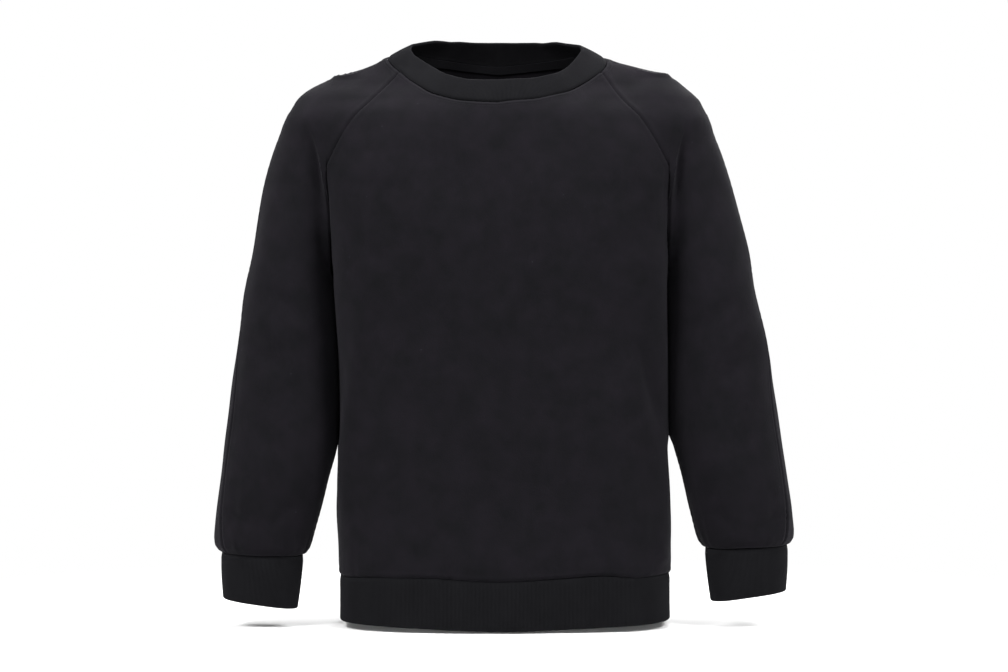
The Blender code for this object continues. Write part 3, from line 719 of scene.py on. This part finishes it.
def shell(outer, inner, across, down):
    """Points, quads and corner places of a cloth wall between two faces, closed along its edges."""
    rows, columns = outer.shape[:2]
    width = 2 * columns
    ring = np.concatenate([outer, inner[:, ::-1]], axis=1)
    index = np.arange(rows * width).reshape(rows, width)
    beside = np.roll(index, -1, axis=1)
    quads = [np.stack([index[:-1], beside[:-1], beside[1:], index[1:]], axis=-1).reshape(-1, 4)]
    j = np.arange(columns - 1)
    cap = np.stack([j, j + 1, width - 2 - j, width - 1 - j], axis=-1)
    quads += [cap[:, ::-1], cap + (rows - 1) * width]
    quads = np.concatenate(quads)
    place = np.stack([across, -down], axis=-1)
    place = np.concatenate([place, place[:, ::-1]], axis=1).reshape(-1, 2)
    return ring.reshape(-1, 3), quads, place[quads]


def ring_surface(sections):
    """The same for a closed band, from one closed section at each place round it."""
    count, around = sections.shape[:2]
    i, j = np.meshgrid(np.arange(count), np.arange(around), indexing="ij")
    k, m = (i + 1) % count, (j + 1) % around
    quads = np.stack([i * around + j, i * around + m, k * around + m, k * around + j], axis=-1)
    run = np.arange(count + 1) * RIB_PITCH / 4
    rise = lengths(np.concatenate([sections, sections[:, :1]], axis=1), 1)[0]
    corners = ((i, j), (i, j + 1), (i + 1, j + 1), (i + 1, j))
    place = np.stack([np.stack([run[a], rise[b]], axis=-1) for a, b in corners], axis=2)
    return sections.reshape(-1, 3), quads.reshape(-1, 4), place.reshape(-1, 4, 2)


def add_cloth(node_name, surface, finish, sharp=60):
    """A piece of cloth as a closed mesh, put in place of its plain solid."""
    points, quads, place = surface
    a, b, c, d = (points[quads[:, k]] for k in range(4))
    if (a * (np.cross(b, c) + np.cross(c, d))).sum() < 0:
        quads, place = quads[:, ::-1], place[:, ::-1]
    mesh = bpy.data.meshes.new(node_name + "_cloth")
    mesh.from_pydata(points.tolist(), [], quads.tolist())
    layer = mesh.uv_layers.new(name="Cloth")
    layer.data.foreach_set("uv", np.ascontiguousarray(place, dtype=np.float32).ravel())
    mesh.materials.append(cloth_material(finish))
    mesh.shade_smooth()
    mesh.set_sharp_from_angle(angle=math.radians(sharp))
    made = bpy.data.objects.new(node_name + "_cloth", mesh)
    bpy.context.scene.collection.objects.link(made)
    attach(made, "root")
    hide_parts(node_name)
    return made


neck_lines = {}


def note_neck_lines(name, outer, distance):
    """Keeps where the stitch rows run over a panel, at their distances from the neck seam."""
    for number, place in enumerate(STITCH_ROWS):
        row = np.argmax(distance >= place, axis=0)
        column = np.arange(outer.shape[1])
        near, far = distance[row - 1, column], distance[row, column]
        share = ((place - near) / (far - near))[:, None]
        neck_lines[name, number] = outer[row - 1, column] * (1 - share) + outer[row, column] * share


def build_body():
    """The front and back panels."""
    for name, side, table in (("front_body", -1, FRONT_CREASES), ("back_body", 1, BACK_CREASES)):
        grid = body_grid(side, BODY_COLUMNS, ROWS_ABOVE, ROWS_BELOW)
        turned = np.where(grid[..., :1] < 0, -1.0, 1.0) * np.array([1.0, 0, 0]) + np.array([0, 1.0, 1.0])
        way = wall_way(grid * turned, torso_field) * turned
        across, down = lengths(grid, 1), lengths(grid, 0)
        first, last, top, bottom = edge_distances(grid)
        bulk = creases(grid, table) * clear_of((first, last, top, bottom), 0.010)
        bulk += gathers(bottom, across[-1:], HEM_GATHER, 0.0008) * clear_of((first, last), 0.008)
        bearing_on = contact(grid, curve(TORSO, grid[..., 2])[0])
        bulk += ripple(grid) * (1 - bearing_on) + 0.0004 * bearing_on
        relief = seam_relief(first, down[:, :1]) + seam_relief(last, down[:, -1:])
        relief += seam_relief(top, across[:1]) + cover_relief(top) + seam_relief(bottom, across[-1:])
        grid = inset(grid)
        outer = drape(grid + way * (bulk + relief - HALF_GAP)[..., None])
        inner = drape(grid + way * (bulk - HALF_GAP - CLOTH)[..., None])
        note_neck_lines(name, outer, top)
        add_cloth(name, shell(outer, inner, across - across[:, -1:] / 2, down), "fleece")


def build_sleeves():
    """The front and back halves of both sleeves."""
    for half, side, table, depth in (
        ("front", -1, SLEEVE_FRONT_CREASES, 0.012),
        ("back", 1, SLEEVE_BACK_CREASES, 0.005),
    ):
        grid = sleeve_grid(side, SLEEVE_COLUMNS, ROWS_ABOVE, ROWS_BELOW)
        way = wall_way(grid, sleeve_field)
        across, down = lengths(grid, 1), lengths(grid, 0)
        first, last, top, bottom = edge_distances(grid)
        edges = clear_of((first, last, top, bottom), 0.008)
        relief = seam_relief(first, down[:, :1]) + seam_relief(last, down[:, -1:])
        relief += seam_relief(top, across[:1]) + cover_relief(top) + seam_relief(bottom, across[-1:])
        bearing_on = contact(grid, curve(SLEEVE, grid[..., 2])[0])
        flat = inset(grid)
        for tag, hand, lift in (("l", 1, 0.0), ("r", -1, 0.014)):
            bulk = (creases(grid, table, lift) + armpit_fold(grid, depth)) * edges
            bulk += gathers(bottom, across[-1:] * (1.0 if hand > 0 else 1.07), CUFF_GATHER, 0.0010) * edges
            turned = np.array([float(hand), 1.0, 1.0])
            bulk = (bulk + ripple(grid * turned)) * (1 - bearing_on) + 0.0019 * bearing_on
            outer = drape((flat + way * (bulk + relief - HALF_GAP)[..., None]) * turned, hand)
            inner = drape((flat + way * (bulk - HALF_GAP - CLOTH)[..., None]) * turned, hand)
            name = f"sleeve_{half}_{tag}"
            note_neck_lines(name, outer, top)
            add_cloth(name, shell(outer, inner, across, down), "fleece")


def even_places(line, places, cells):
    """Places along an open line that are evenly far apart."""
    run = lengths(line, 0)
    return np.interp(np.linspace(0, run[-1], cells + 1), run, places)


def rib_band(foot, rim, normal, thickness, sway, bulge=0.0):
    """Closed sections of a folded rib band; four places make one rib."""
    up = rim - foot
    length = np.linalg.norm(up, axis=-1, keepdims=True)
    up = up / length
    normal = normal - (normal * up).sum(-1, keepdims=True) * up
    normal = normal / np.linalg.norm(normal, axis=-1, keepdims=True)
    radius = thickness / 2
    height = bpy.context.scene.sweatshirt.rib_height
    wave = np.sin((np.arange(len(foot)) + 0.5) * math.pi / 2)[:, None] * height
    straight = length - radius
    sections = []
    for share in np.linspace(0, 1, 10):
        way_up = straight * share
        groove = -0.7 * SEAM_DEPTH * np.exp(-((way_up / 0.0014) ** 2))
        lift = wave * smooth(way_up / 0.003) + groove + bulge * math.sin(math.pi * share)
        sections.append(foot + up * way_up + normal * (lift + sway))
    for turn in np.linspace(0, math.pi, 7)[1:-1]:
        out = normal * math.cos(turn) + up * math.sin(turn)
        sections.append(foot + up * straight + normal * (sway - radius) + out * (radius + 0.8 * wave))
    for share in np.linspace(1, 0, 7):
        way_up = straight * share
        lift = -thickness - wave * smooth(way_up / 0.003) + bulge * math.sin(math.pi * share)
        sections.append(foot + up * way_up + normal * (lift + sway))
    return np.stack(sections, axis=1)


def build_neckband():
    """The rib band that stands up from the neck seam."""
    half = np.linspace(0, 180, 361)
    line = neck_point(half)
    ribs = 2 * round(lengths(line, 0)[-1] / RIB_PITCH / 2) * 2
    half = even_places(line, half, 2 * ribs)
    angle = np.concatenate([half, half[-2:0:-1]])
    side = np.concatenate([np.ones(len(half)), -np.ones(len(half) - 2)])[:, None]
    foot = neck_point(angle)
    inward, rise = curve(NECK_RIM, angle)
    turn = np.radians(angle)
    out = np.stack([np.sin(turn), -np.cos(turn), 0 * turn], axis=-1)
    rim = foot - out * inward[:, None]
    rim[:, 2] += rise
    up = rim - foot
    up /= np.linalg.norm(up, axis=-1, keepdims=True)
    hand = np.concatenate([side, np.ones((len(side), 2))], axis=1)
    sway = ripple(foot * hand)[:, None] * 0.8
    sections = rib_band(foot + up * BAND_GAP * 0.5, rim, out, RIB, sway, 0.0006) * hand[:, None]
    add_cloth("neckband", ring_surface(drape(sections)), "rib", 80)


def build_neck_tape():
    """The tape along the inside of the back neck seam."""
    half = np.linspace(SHOULDER_ANGLE + 8, 180, 91)
    top = neck_point(half)
    low = top.copy()
    low[:, 2] -= TAPE_WIDTH
    start = low * np.array([0.3, 0.3, 1.0])
    way = (low - start) * np.array([1.0, 1.0, 0.0])
    way /= np.linalg.norm(way, axis=-1, keepdims=True)
    low = cast(whole_field, start, way, 0.0, 0.2)
    line = np.linspace(0.08, 1.0, 9)[None, :, None]
    grid = top[:, None] * (1 - line) + low[:, None] * line
    way = outward(whole_field, grid)
    faces = []
    for depth in (CLOTH + TAPE_CLEAR, CLOTH + TAPE_CLEAR + TAPE):
        near = grid + way * (ripple(grid) - depth)[..., None]
        far = mirror(grid + way * (ripple(mirror(grid)) - depth)[..., None])
        faces.append(drape(np.concatenate([near, far[-2::-1]])))
    across, down = lengths(faces[0], 0), lengths(faces[0], 1)
    add_cloth("neck_tape", shell(*faces, down, -across), "tape")


def build_hem_band():
    """The rib band below the hem seam."""
    sizes = curve(TORSO, HEM_SEAM)
    turn = np.linspace(0, math.tau, 1441)
    x, y = oblong(*sizes, turn)
    line = np.stack([x, y, 0 * x], axis=-1)
    ribs = round(lengths(line, 0)[-1] / RIB_PITCH)
    turn = even_places(line, turn, 4 * ribs)[:-1]
    x, y = oblong(*sizes, turn)
    foot = np.stack([x, y, HEM_SEAM - 2 * HALF_GAP + 0 * x], axis=-1)
    run = np.roll(foot, -1, axis=0) - np.roll(foot, 1, axis=0)
    normal = np.stack([run[:, 1], -run[:, 0], 0 * x], axis=-1)
    normal /= np.linalg.norm(normal, axis=-1, keepdims=True)
    normal *= np.sign((normal * foot).sum(-1, keepdims=True))
    rim = foot - normal * 0.0006
    rim[:, 2] = HEM_EDGE - HEM_DIP * np.cos(turn) ** 2
    sway = ripple(foot)[:, None]
    waves = 0.0006 * np.sin(9 * turn + 1.0) + 0.0009 * np.exp(-(((turn - 1.9) / 0.5) ** 2)) * np.sin(26 * turn)
    rim = rim + normal * waves[:, None]
    surface = ring_surface(drape(rib_band(foot, rim, normal, RIB, sway)))
    add_cloth("hem_band", surface, "rib", 80)


def build_cuffs():
    """The rib cuffs, square to the ends of the sleeves."""
    back = np.array([0.0, 1.0, 0.0])

    def seam_at(turn):
        share = np.ones_like(turn)
        centre, along, out = arm_frames(share)
        way = np.cos(turn)[:, None] * out - np.sin(turn)[:, None] * back
        seam = cast(sleeve_field, centre, way, 0.005, 0.16)
        return centre, along, way, centre + (seam - centre) * curve(CUFF_DRAW, share)[0][:, None]

    turn = np.linspace(0, math.tau, 721)
    line = seam_at(turn)[3]
    ribs = round(lengths(line, 0)[-1] / RIB_PITCH)
    turn = even_places(line, turn, 4 * ribs)[:-1]
    centre, along, way, seam = seam_at(turn)
    down = along + np.array([0.0, -0.06, 0.0])
    down /= np.linalg.norm(down, axis=-1, keepdims=True)
    foot = seam + down * 2 * HALF_GAP
    rim = centre + (seam - centre) * CUFF_TAPER + down * CUFF_LENGTH
    rim[:, 2] += CUFF_TILT * np.cos(turn)
    for tag, hand in (("l", 1), ("r", -1)):
        turned = np.array([float(hand), 1.0, 1.0])
        sway = ripple(foot * turned)[:, None] * 0.8
        sections = rib_band(foot, rim, way, RIB, sway, 0.0008) * turned
        surface = ring_surface(drape(sections, hand))
        add_cloth(f"cuff_{tag}", surface, "rib", 80)


def add_node(tree, kind, inputs=None, **settings):
    """A node with its settings and with its inputs set or linked."""
    made = tree.nodes.new(kind)
    for key, value in settings.items():
        setattr(made, key, value)
    for key, value in (inputs or {}).items():
        if isinstance(value, bpy.types.NodeSocket):
            tree.links.new(value, made.inputs[key])
        else:
            made.inputs[key].default_value = value
    return made


def linear(code):
    """The linear colour of an sRGB hex code."""
    parts = [int(code[k : k + 2], 16) / 255 for k in (1, 3, 5)]
    return (*[c / 12.92 if c <= 0.04045 else ((c + 0.055) / 1.055) ** 2.4 for c in parts], 1.0)


def cloth_material(name):
    """Matt cotton: a soft mottle, a fine nap, the lines of the knit with painted shade in their grooves, and perhaps
    a few specks of lint.
    """
    made = bpy.data.materials.get(name + "_cotton")
    if made:
        return made
    dark, light, wales, groove_shade_share, lint = FINISHES[name]
    made = bpy.data.materials.new(name + "_cotton")
    made.use_nodes = True
    tree = made.node_tree
    tree.nodes.clear()
    place = add_node(tree, "ShaderNodeTexCoord")
    where = place.outputs["Object"]
    mottle = add_node(tree, "ShaderNodeTexNoise", {"Vector": where, "Scale": 34.0, "Detail": 6.0, "Roughness": 0.65})
    spread = add_node(
        tree,
        "ShaderNodeMapRange",
        {"Value": mottle.outputs["Fac"], "From Min": 0.3, "From Max": 0.7, "To Min": 0.0, "To Max": 1.0},
    )
    split = add_node(tree, "ShaderNodeSeparateXYZ", {"Vector": place.outputs["UV"]})
    turns = add_node(
        tree,
        "ShaderNodeMath",
        {0: split.outputs["X"], 1: math.tau / wales, 2: math.pi / 4},
        operation="MULTIPLY_ADD",
    )
    # The knit's lines, in step with the bump below and, on the bands, with the ribs' relief; the tone that follows
    # them is painted shade, darker in the grooves and lighter on the crests.
    lines = add_node(tree, "ShaderNodeMath", {0: turns.outputs[0]}, operation="SINE")
    knit = add_node(tree, "ShaderNodeMapRange", {"Value": lines.outputs[0], "From Min": -1.0, "From Max": 1.0})
    share = add_node(
        tree,
        "ShaderNodeMix",
        {0: groove_shade_share, 2: spread.outputs["Result"], 3: knit.outputs["Result"]},
        data_type="FLOAT",
    )
    tone = add_node(
        tree,
        "ShaderNodeMix",
        {0: share.outputs[0], 6: linear(dark), 7: linear(light)},
        data_type="RGBA",
    )
    colour = tone.outputs[2]
    if lint:
        specks = add_node(tree, "ShaderNodeTexVoronoi", {"Vector": where, "Scale": 45.0})
        near = add_node(tree, "ShaderNodeMath", {0: specks.outputs["Distance"], 1: 0.022}, operation="LESS_THAN")
        few = add_node(tree, "ShaderNodeSeparateColor", {"Color": specks.outputs["Color"]})
        some = add_node(tree, "ShaderNodeMath", {0: few.outputs["Red"], 1: 0.6}, operation="GREATER_THAN")
        both = add_node(tree, "ShaderNodeMath", {0: near.outputs[0], 1: some.outputs[0]}, operation="MULTIPLY")
        colour = add_node(
            tree,
            "ShaderNodeMix",
            {0: both.outputs[0], 6: colour, 7: linear(LINT_TONE)},
            data_type="RGBA",
        ).outputs[2]
    nap = add_node(tree, "ShaderNodeTexNoise", {"Vector": where, "Scale": 420.0, "Detail": 3.0, "Roughness": 0.7})
    height = add_node(
        tree,
        "ShaderNodeMath",
        {0: lines.outputs[0], 1: 0.25, 2: nap.outputs["Fac"]},
        operation="MULTIPLY_ADD",
    )
    bump = add_node(
        tree,
        "ShaderNodeBump",
        {"Strength": 0.6, "Distance": 0.0004, "Height": height.outputs[0]},
    )
    shader = add_node(
        tree,
        "ShaderNodeBsdfPrincipled",
        {
            "Base Color": colour,
            "Roughness": 0.95,
            "Metallic": 0.0,
            "Specular IOR Level": 0.05,
            "Sheen Weight": 0.025,
            "Sheen Roughness": 0.5,
            "Sheen Tint": linear("#d2d0dc"),
            "Normal": bump.outputs["Normal"],
        },
    )
    add_node(tree, "ShaderNodeOutputMaterial", {"Surface": shader.outputs["BSDF"]})
    return made


def thread_material():
    """Plain sewing thread."""
    made = bpy.data.materials.new("thread")
    made.use_nodes = True
    shader = made.node_tree.nodes["Principled BSDF"]
    shader.inputs["Base Color"].default_value = linear(THREAD_TONE)
    shader.inputs["Roughness"].default_value = 0.7
    shader.inputs["Specular IOR Level"].default_value = 0.15
    return made


def stitch_tree():
    """Lays stitches end to end along lines."""
    tree = bpy.data.node_groups.new("Stitch rows", "GeometryNodeTree")
    tree.interface.new_socket(name="Geometry", in_out="INPUT", socket_type="NodeSocketGeometry")
    for name in ("Spacing", "Stitch length", "Thread radius"):
        tree.interface.new_socket(name=name, in_out="INPUT", socket_type="NodeSocketFloat")
    tree.interface.new_socket(name="Thread", in_out="INPUT", socket_type="NodeSocketMaterial")
    tree.interface.new_socket(name="Geometry", in_out="OUTPUT", socket_type="NodeSocketGeometry")
    inlet = add_node(tree, "NodeGroupInput").outputs
    lines = add_node(tree, "GeometryNodeMeshToCurve", {"Mesh": inlet["Geometry"]})
    points = add_node(
        tree,
        "GeometryNodeCurveToPoints",
        {"Curve": lines.outputs["Curve"], "Length": inlet["Spacing"]},
        mode="LENGTH",
    )
    turn = add_node(tree, "FunctionNodeAlignRotationToVector", {"Vector": points.outputs["Tangent"]}, axis="X")
    half = add_node(tree, "ShaderNodeMath", {0: inlet["Stitch length"], 1: 0.5}, operation="MULTIPLY")
    size = add_node(
        tree,
        "ShaderNodeCombineXYZ",
        {"X": half.outputs[0], "Y": inlet["Thread radius"], "Z": inlet["Thread radius"]},
    )
    stitch = add_node(tree, "GeometryNodeMeshIcoSphere", {"Radius": 1.0, "Subdivisions": 2})
    laid = add_node(
        tree,
        "GeometryNodeInstanceOnPoints",
        {
            "Points": points.outputs["Points"],
            "Instance": stitch.outputs["Mesh"],
            "Rotation": turn.outputs["Rotation"],
            "Scale": size.outputs["Vector"],
        },
    )
    real = add_node(tree, "GeometryNodeRealizeInstances", {"Geometry": laid.outputs["Instances"]})
    done = add_node(
        tree,
        "GeometryNodeSetMaterial",
        {"Geometry": real.outputs["Geometry"], "Material": inlet["Thread"]},
    )
    add_node(tree, "NodeGroupOutput", {"Geometry": done.outputs["Geometry"]})
    return tree


def build_stitches():
    """The two rows of stitches round the neck seam, on the panels."""
    thread = thread_material()
    tree = stitch_tree()
    points, edges = [], []
    for line in neck_lines.values():
        first = len(points)
        points += line.tolist()
        edges += [(first + k, first + k + 1) for k in range(len(line) - 1)]
    mesh = bpy.data.meshes.new("neck_stitches")
    mesh.from_pydata(points, edges, [])
    made = bpy.data.objects.new("neck_stitches", mesh)
    bpy.context.scene.collection.objects.link(made)
    modifier = made.modifiers.new("Stitch rows", "NODES")
    modifier.node_group = tree
    values = {
        "Spacing": STITCH_SPACING,
        "Stitch length": STITCH_LENGTH,
        "Thread radius": THREAD_RADIUS,
        "Thread": thread,
    }
    for item in tree.interface.items_tree:
        if item.in_out == "INPUT" and item.name in values:
            modifier[item.identifier] = values[item.name]
    view = bpy.context.evaluated_depsgraph_get()
    result = bpy.data.meshes.new_from_object(made.evaluated_get(view), depsgraph=view)
    made.modifiers.remove(modifier)
    made.data = result
    bpy.data.meshes.remove(mesh)
    result.shade_smooth()
    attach(made, "root")
    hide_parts("neckband")
    return made


def add_softbox(name, place, aim, size, power):
    """A square area light."""
    lamp = bpy.data.lights.new(name, "AREA")
    lamp.shape = "SQUARE"
    lamp.size = size
    lamp.energy = power
    made = bpy.data.objects.new(name, lamp)
    bpy.context.scene.collection.objects.link(made)
    made.location = place
    way = np.array(aim) - np.array(place)
    level = math.hypot(way[0], way[1])
    made.rotation_euler = (math.atan2(level, -way[2]), 0.0, math.atan2(way[1], way[0]) - math.pi / 2)
    return made


def build_stage():
    """A white floor that fades out into a white surrounding, four softboxes and the camera."""
    scene = bpy.context.scene
    floor_mesh = bpy.data.meshes.new("floor")
    reach = 1.9
    corners = [(x * reach, y * reach, FLOOR_HEIGHT) for x, y in ((-1, -1), (1, -1), (1, 1), (-1, 1))]
    floor_mesh.from_pydata(corners, [], [(0, 1, 2, 3)])
    floor = bpy.data.objects.new("floor", floor_mesh)
    scene.collection.objects.link(floor)
    white = bpy.data.materials.new("studio_floor")
    white.use_nodes = True
    tree = white.node_tree
    tree.nodes.clear()
    place = add_node(tree, "ShaderNodeTexCoord")
    flat = add_node(tree, "ShaderNodeVectorMath", {0: place.outputs["Object"], 1: (1.0, 1.0, 0.0)}, operation="MULTIPLY")
    far = add_node(tree, "ShaderNodeVectorMath", {0: flat.outputs["Vector"]}, operation="LENGTH")
    fade = add_node(
        tree,
        "ShaderNodeMapRange",
        {"Value": far.outputs["Value"], "From Min": 0.42, "From Max": 0.95, "To Min": 1.0, "To Max": 0.0},
        interpolation_type="SMOOTHSTEP",
    )
    shader = add_node(
        tree,
        "ShaderNodeBsdfPrincipled",
        {
            "Base Color": linear("#dcdcdc"),
            "Roughness": 1.0,
            "Specular IOR Level": 0.0,
            "Alpha": fade.outputs["Result"],
        },
    )
    add_node(tree, "ShaderNodeOutputMaterial", {"Surface": shader.outputs["BSDF"]})
    floor_mesh.materials.append(white)
    world = bpy.data.worlds.new("studio")
    world.use_nodes = True
    around = world.node_tree.nodes["Background"]
    around.inputs["Color"].default_value = (1.0, 1.0, 1.0, 1.0)
    around.inputs["Strength"].default_value = 1.0
    scene.world = world
    aim = (0.0, 0.0, -0.20)
    lamps = [
        add_softbox("softbox_top", (0.0, 0.10, 1.60), aim, 1.1, 34.0),
        add_softbox("softbox_back", (0.5, 1.9, 1.20), aim, 1.0, 75.0),
        add_softbox("softbox_left", (-1.4, -1.4, 1.25), aim, 0.8, 84.0),
        add_softbox("softbox_right", (1.5, -1.2, 1.15), aim, 0.8, 66.0),
    ]
    lens = bpy.data.cameras.new("camera")
    lens.lens = LENS_MM
    lens.sensor_width = 36.0
    lens.dof.use_dof = False
    camera = bpy.data.objects.new("camera", lens)
    scene.collection.objects.link(camera)
    camera.location = (0.0096, -3.2, -0.349)
    camera.rotation_euler = (math.pi / 2, 0.0, 0.0)
    scene.camera = camera
    scene.view_settings.view_transform = "Standard"


class SweatshirtSettings(bpy.types.PropertyGroup):
    """What can be set before the sweatshirt is built."""

    rib_height: bpy.props.FloatProperty(name="Rib height", default=0.00032, min=0.0, max=0.0008, precision=5)
    crease_depth: bpy.props.FloatProperty(name="Crease depth", default=1.0, min=0.0, max=2.0)
    unevenness: bpy.props.FloatProperty(name="Unevenness", default=1.0, min=0.0, max=2.0)


class SWEATSHIRT_OT_body(bpy.types.Operator):
    """Builds the front and back panels"""

    bl_idname = "sweatshirt.body"
    bl_label = "Body panels"

    def execute(self, context):
        build_body()
        return {"FINISHED"}


class SWEATSHIRT_OT_sleeves(bpy.types.Operator):
    """Builds the front and back halves of both sleeves"""

    bl_idname = "sweatshirt.sleeves"
    bl_label = "Sleeves"

    def execute(self, context):
        build_sleeves()
        return {"FINISHED"}


class SWEATSHIRT_OT_neckband(bpy.types.Operator):
    """Builds the rib neckband"""

    bl_idname = "sweatshirt.neckband"
    bl_label = "Neckband"

    def execute(self, context):
        build_neckband()
        return {"FINISHED"}


class SWEATSHIRT_OT_neck_tape(bpy.types.Operator):
    """Builds the tape inside the back of the neck"""

    bl_idname = "sweatshirt.neck_tape"
    bl_label = "Neck tape"

    def execute(self, context):
        build_neck_tape()
        return {"FINISHED"}


class SWEATSHIRT_OT_hem_band(bpy.types.Operator):
    """Builds the rib band at the hem"""

    bl_idname = "sweatshirt.hem_band"
    bl_label = "Hem band"

    def execute(self, context):
        build_hem_band()
        return {"FINISHED"}


class SWEATSHIRT_OT_cuffs(bpy.types.Operator):
    """Builds both rib cuffs"""

    bl_idname = "sweatshirt.cuffs"
    bl_label = "Cuffs"

    def execute(self, context):
        build_cuffs()
        return {"FINISHED"}


class SWEATSHIRT_OT_stitches(bpy.types.Operator):
    """Lays the stitch rows round the neck"""

    bl_idname = "sweatshirt.stitches"
    bl_label = "Stitches"

    def execute(self, context):
        build_stitches()
        return {"FINISHED"}


class SWEATSHIRT_OT_stage(bpy.types.Operator):
    """Sets up the white studio, its lights and the camera"""

    bl_idname = "sweatshirt.stage"
    bl_label = "Studio"

    def execute(self, context):
        build_stage()
        return {"FINISHED"}


class SWEATSHIRT_PT_panel(bpy.types.Panel):
    """Buttons for every piece of the sweatshirt"""

    bl_idname = "SWEATSHIRT_PT_panel"
    bl_label = "Sweatshirt"
    bl_space_type = "VIEW_3D"
    bl_region_type = "UI"
    bl_category = "Sweatshirt"

    def draw(self, context):
        for name in ("rib_height", "crease_depth", "unevenness"):
            self.layout.prop(context.scene.sweatshirt, name)
        for operator in OPERATORS:
            self.layout.operator(operator.bl_idname)


OPERATORS = (
    SWEATSHIRT_OT_body,
    SWEATSHIRT_OT_sleeves,
    SWEATSHIRT_OT_neckband,
    SWEATSHIRT_OT_neck_tape,
    SWEATSHIRT_OT_hem_band,
    SWEATSHIRT_OT_cuffs,
    SWEATSHIRT_OT_stitches,
    SWEATSHIRT_OT_stage,
)
CLASSES = (SweatshirtSettings, *OPERATORS, SWEATSHIRT_PT_panel)


def register():
    for item in CLASSES:
        bpy.utils.register_class(item)
    bpy.types.Scene.sweatshirt = bpy.props.PointerProperty(type=SweatshirtSettings)


def unregister():
    del bpy.types.Scene.sweatshirt
    for item in reversed(CLASSES):
        bpy.utils.unregister_class(item)


def main():
    register()
    bpy.ops.sweatshirt.body()
    bpy.ops.sweatshirt.sleeves()
    bpy.ops.sweatshirt.neckband()
    bpy.ops.sweatshirt.neck_tape()
    bpy.ops.sweatshirt.hem_band()
    bpy.ops.sweatshirt.cuffs()
    bpy.ops.sweatshirt.stitches()
    bpy.ops.sweatshirt.stage()


if __name__ == "__main__":
    main()
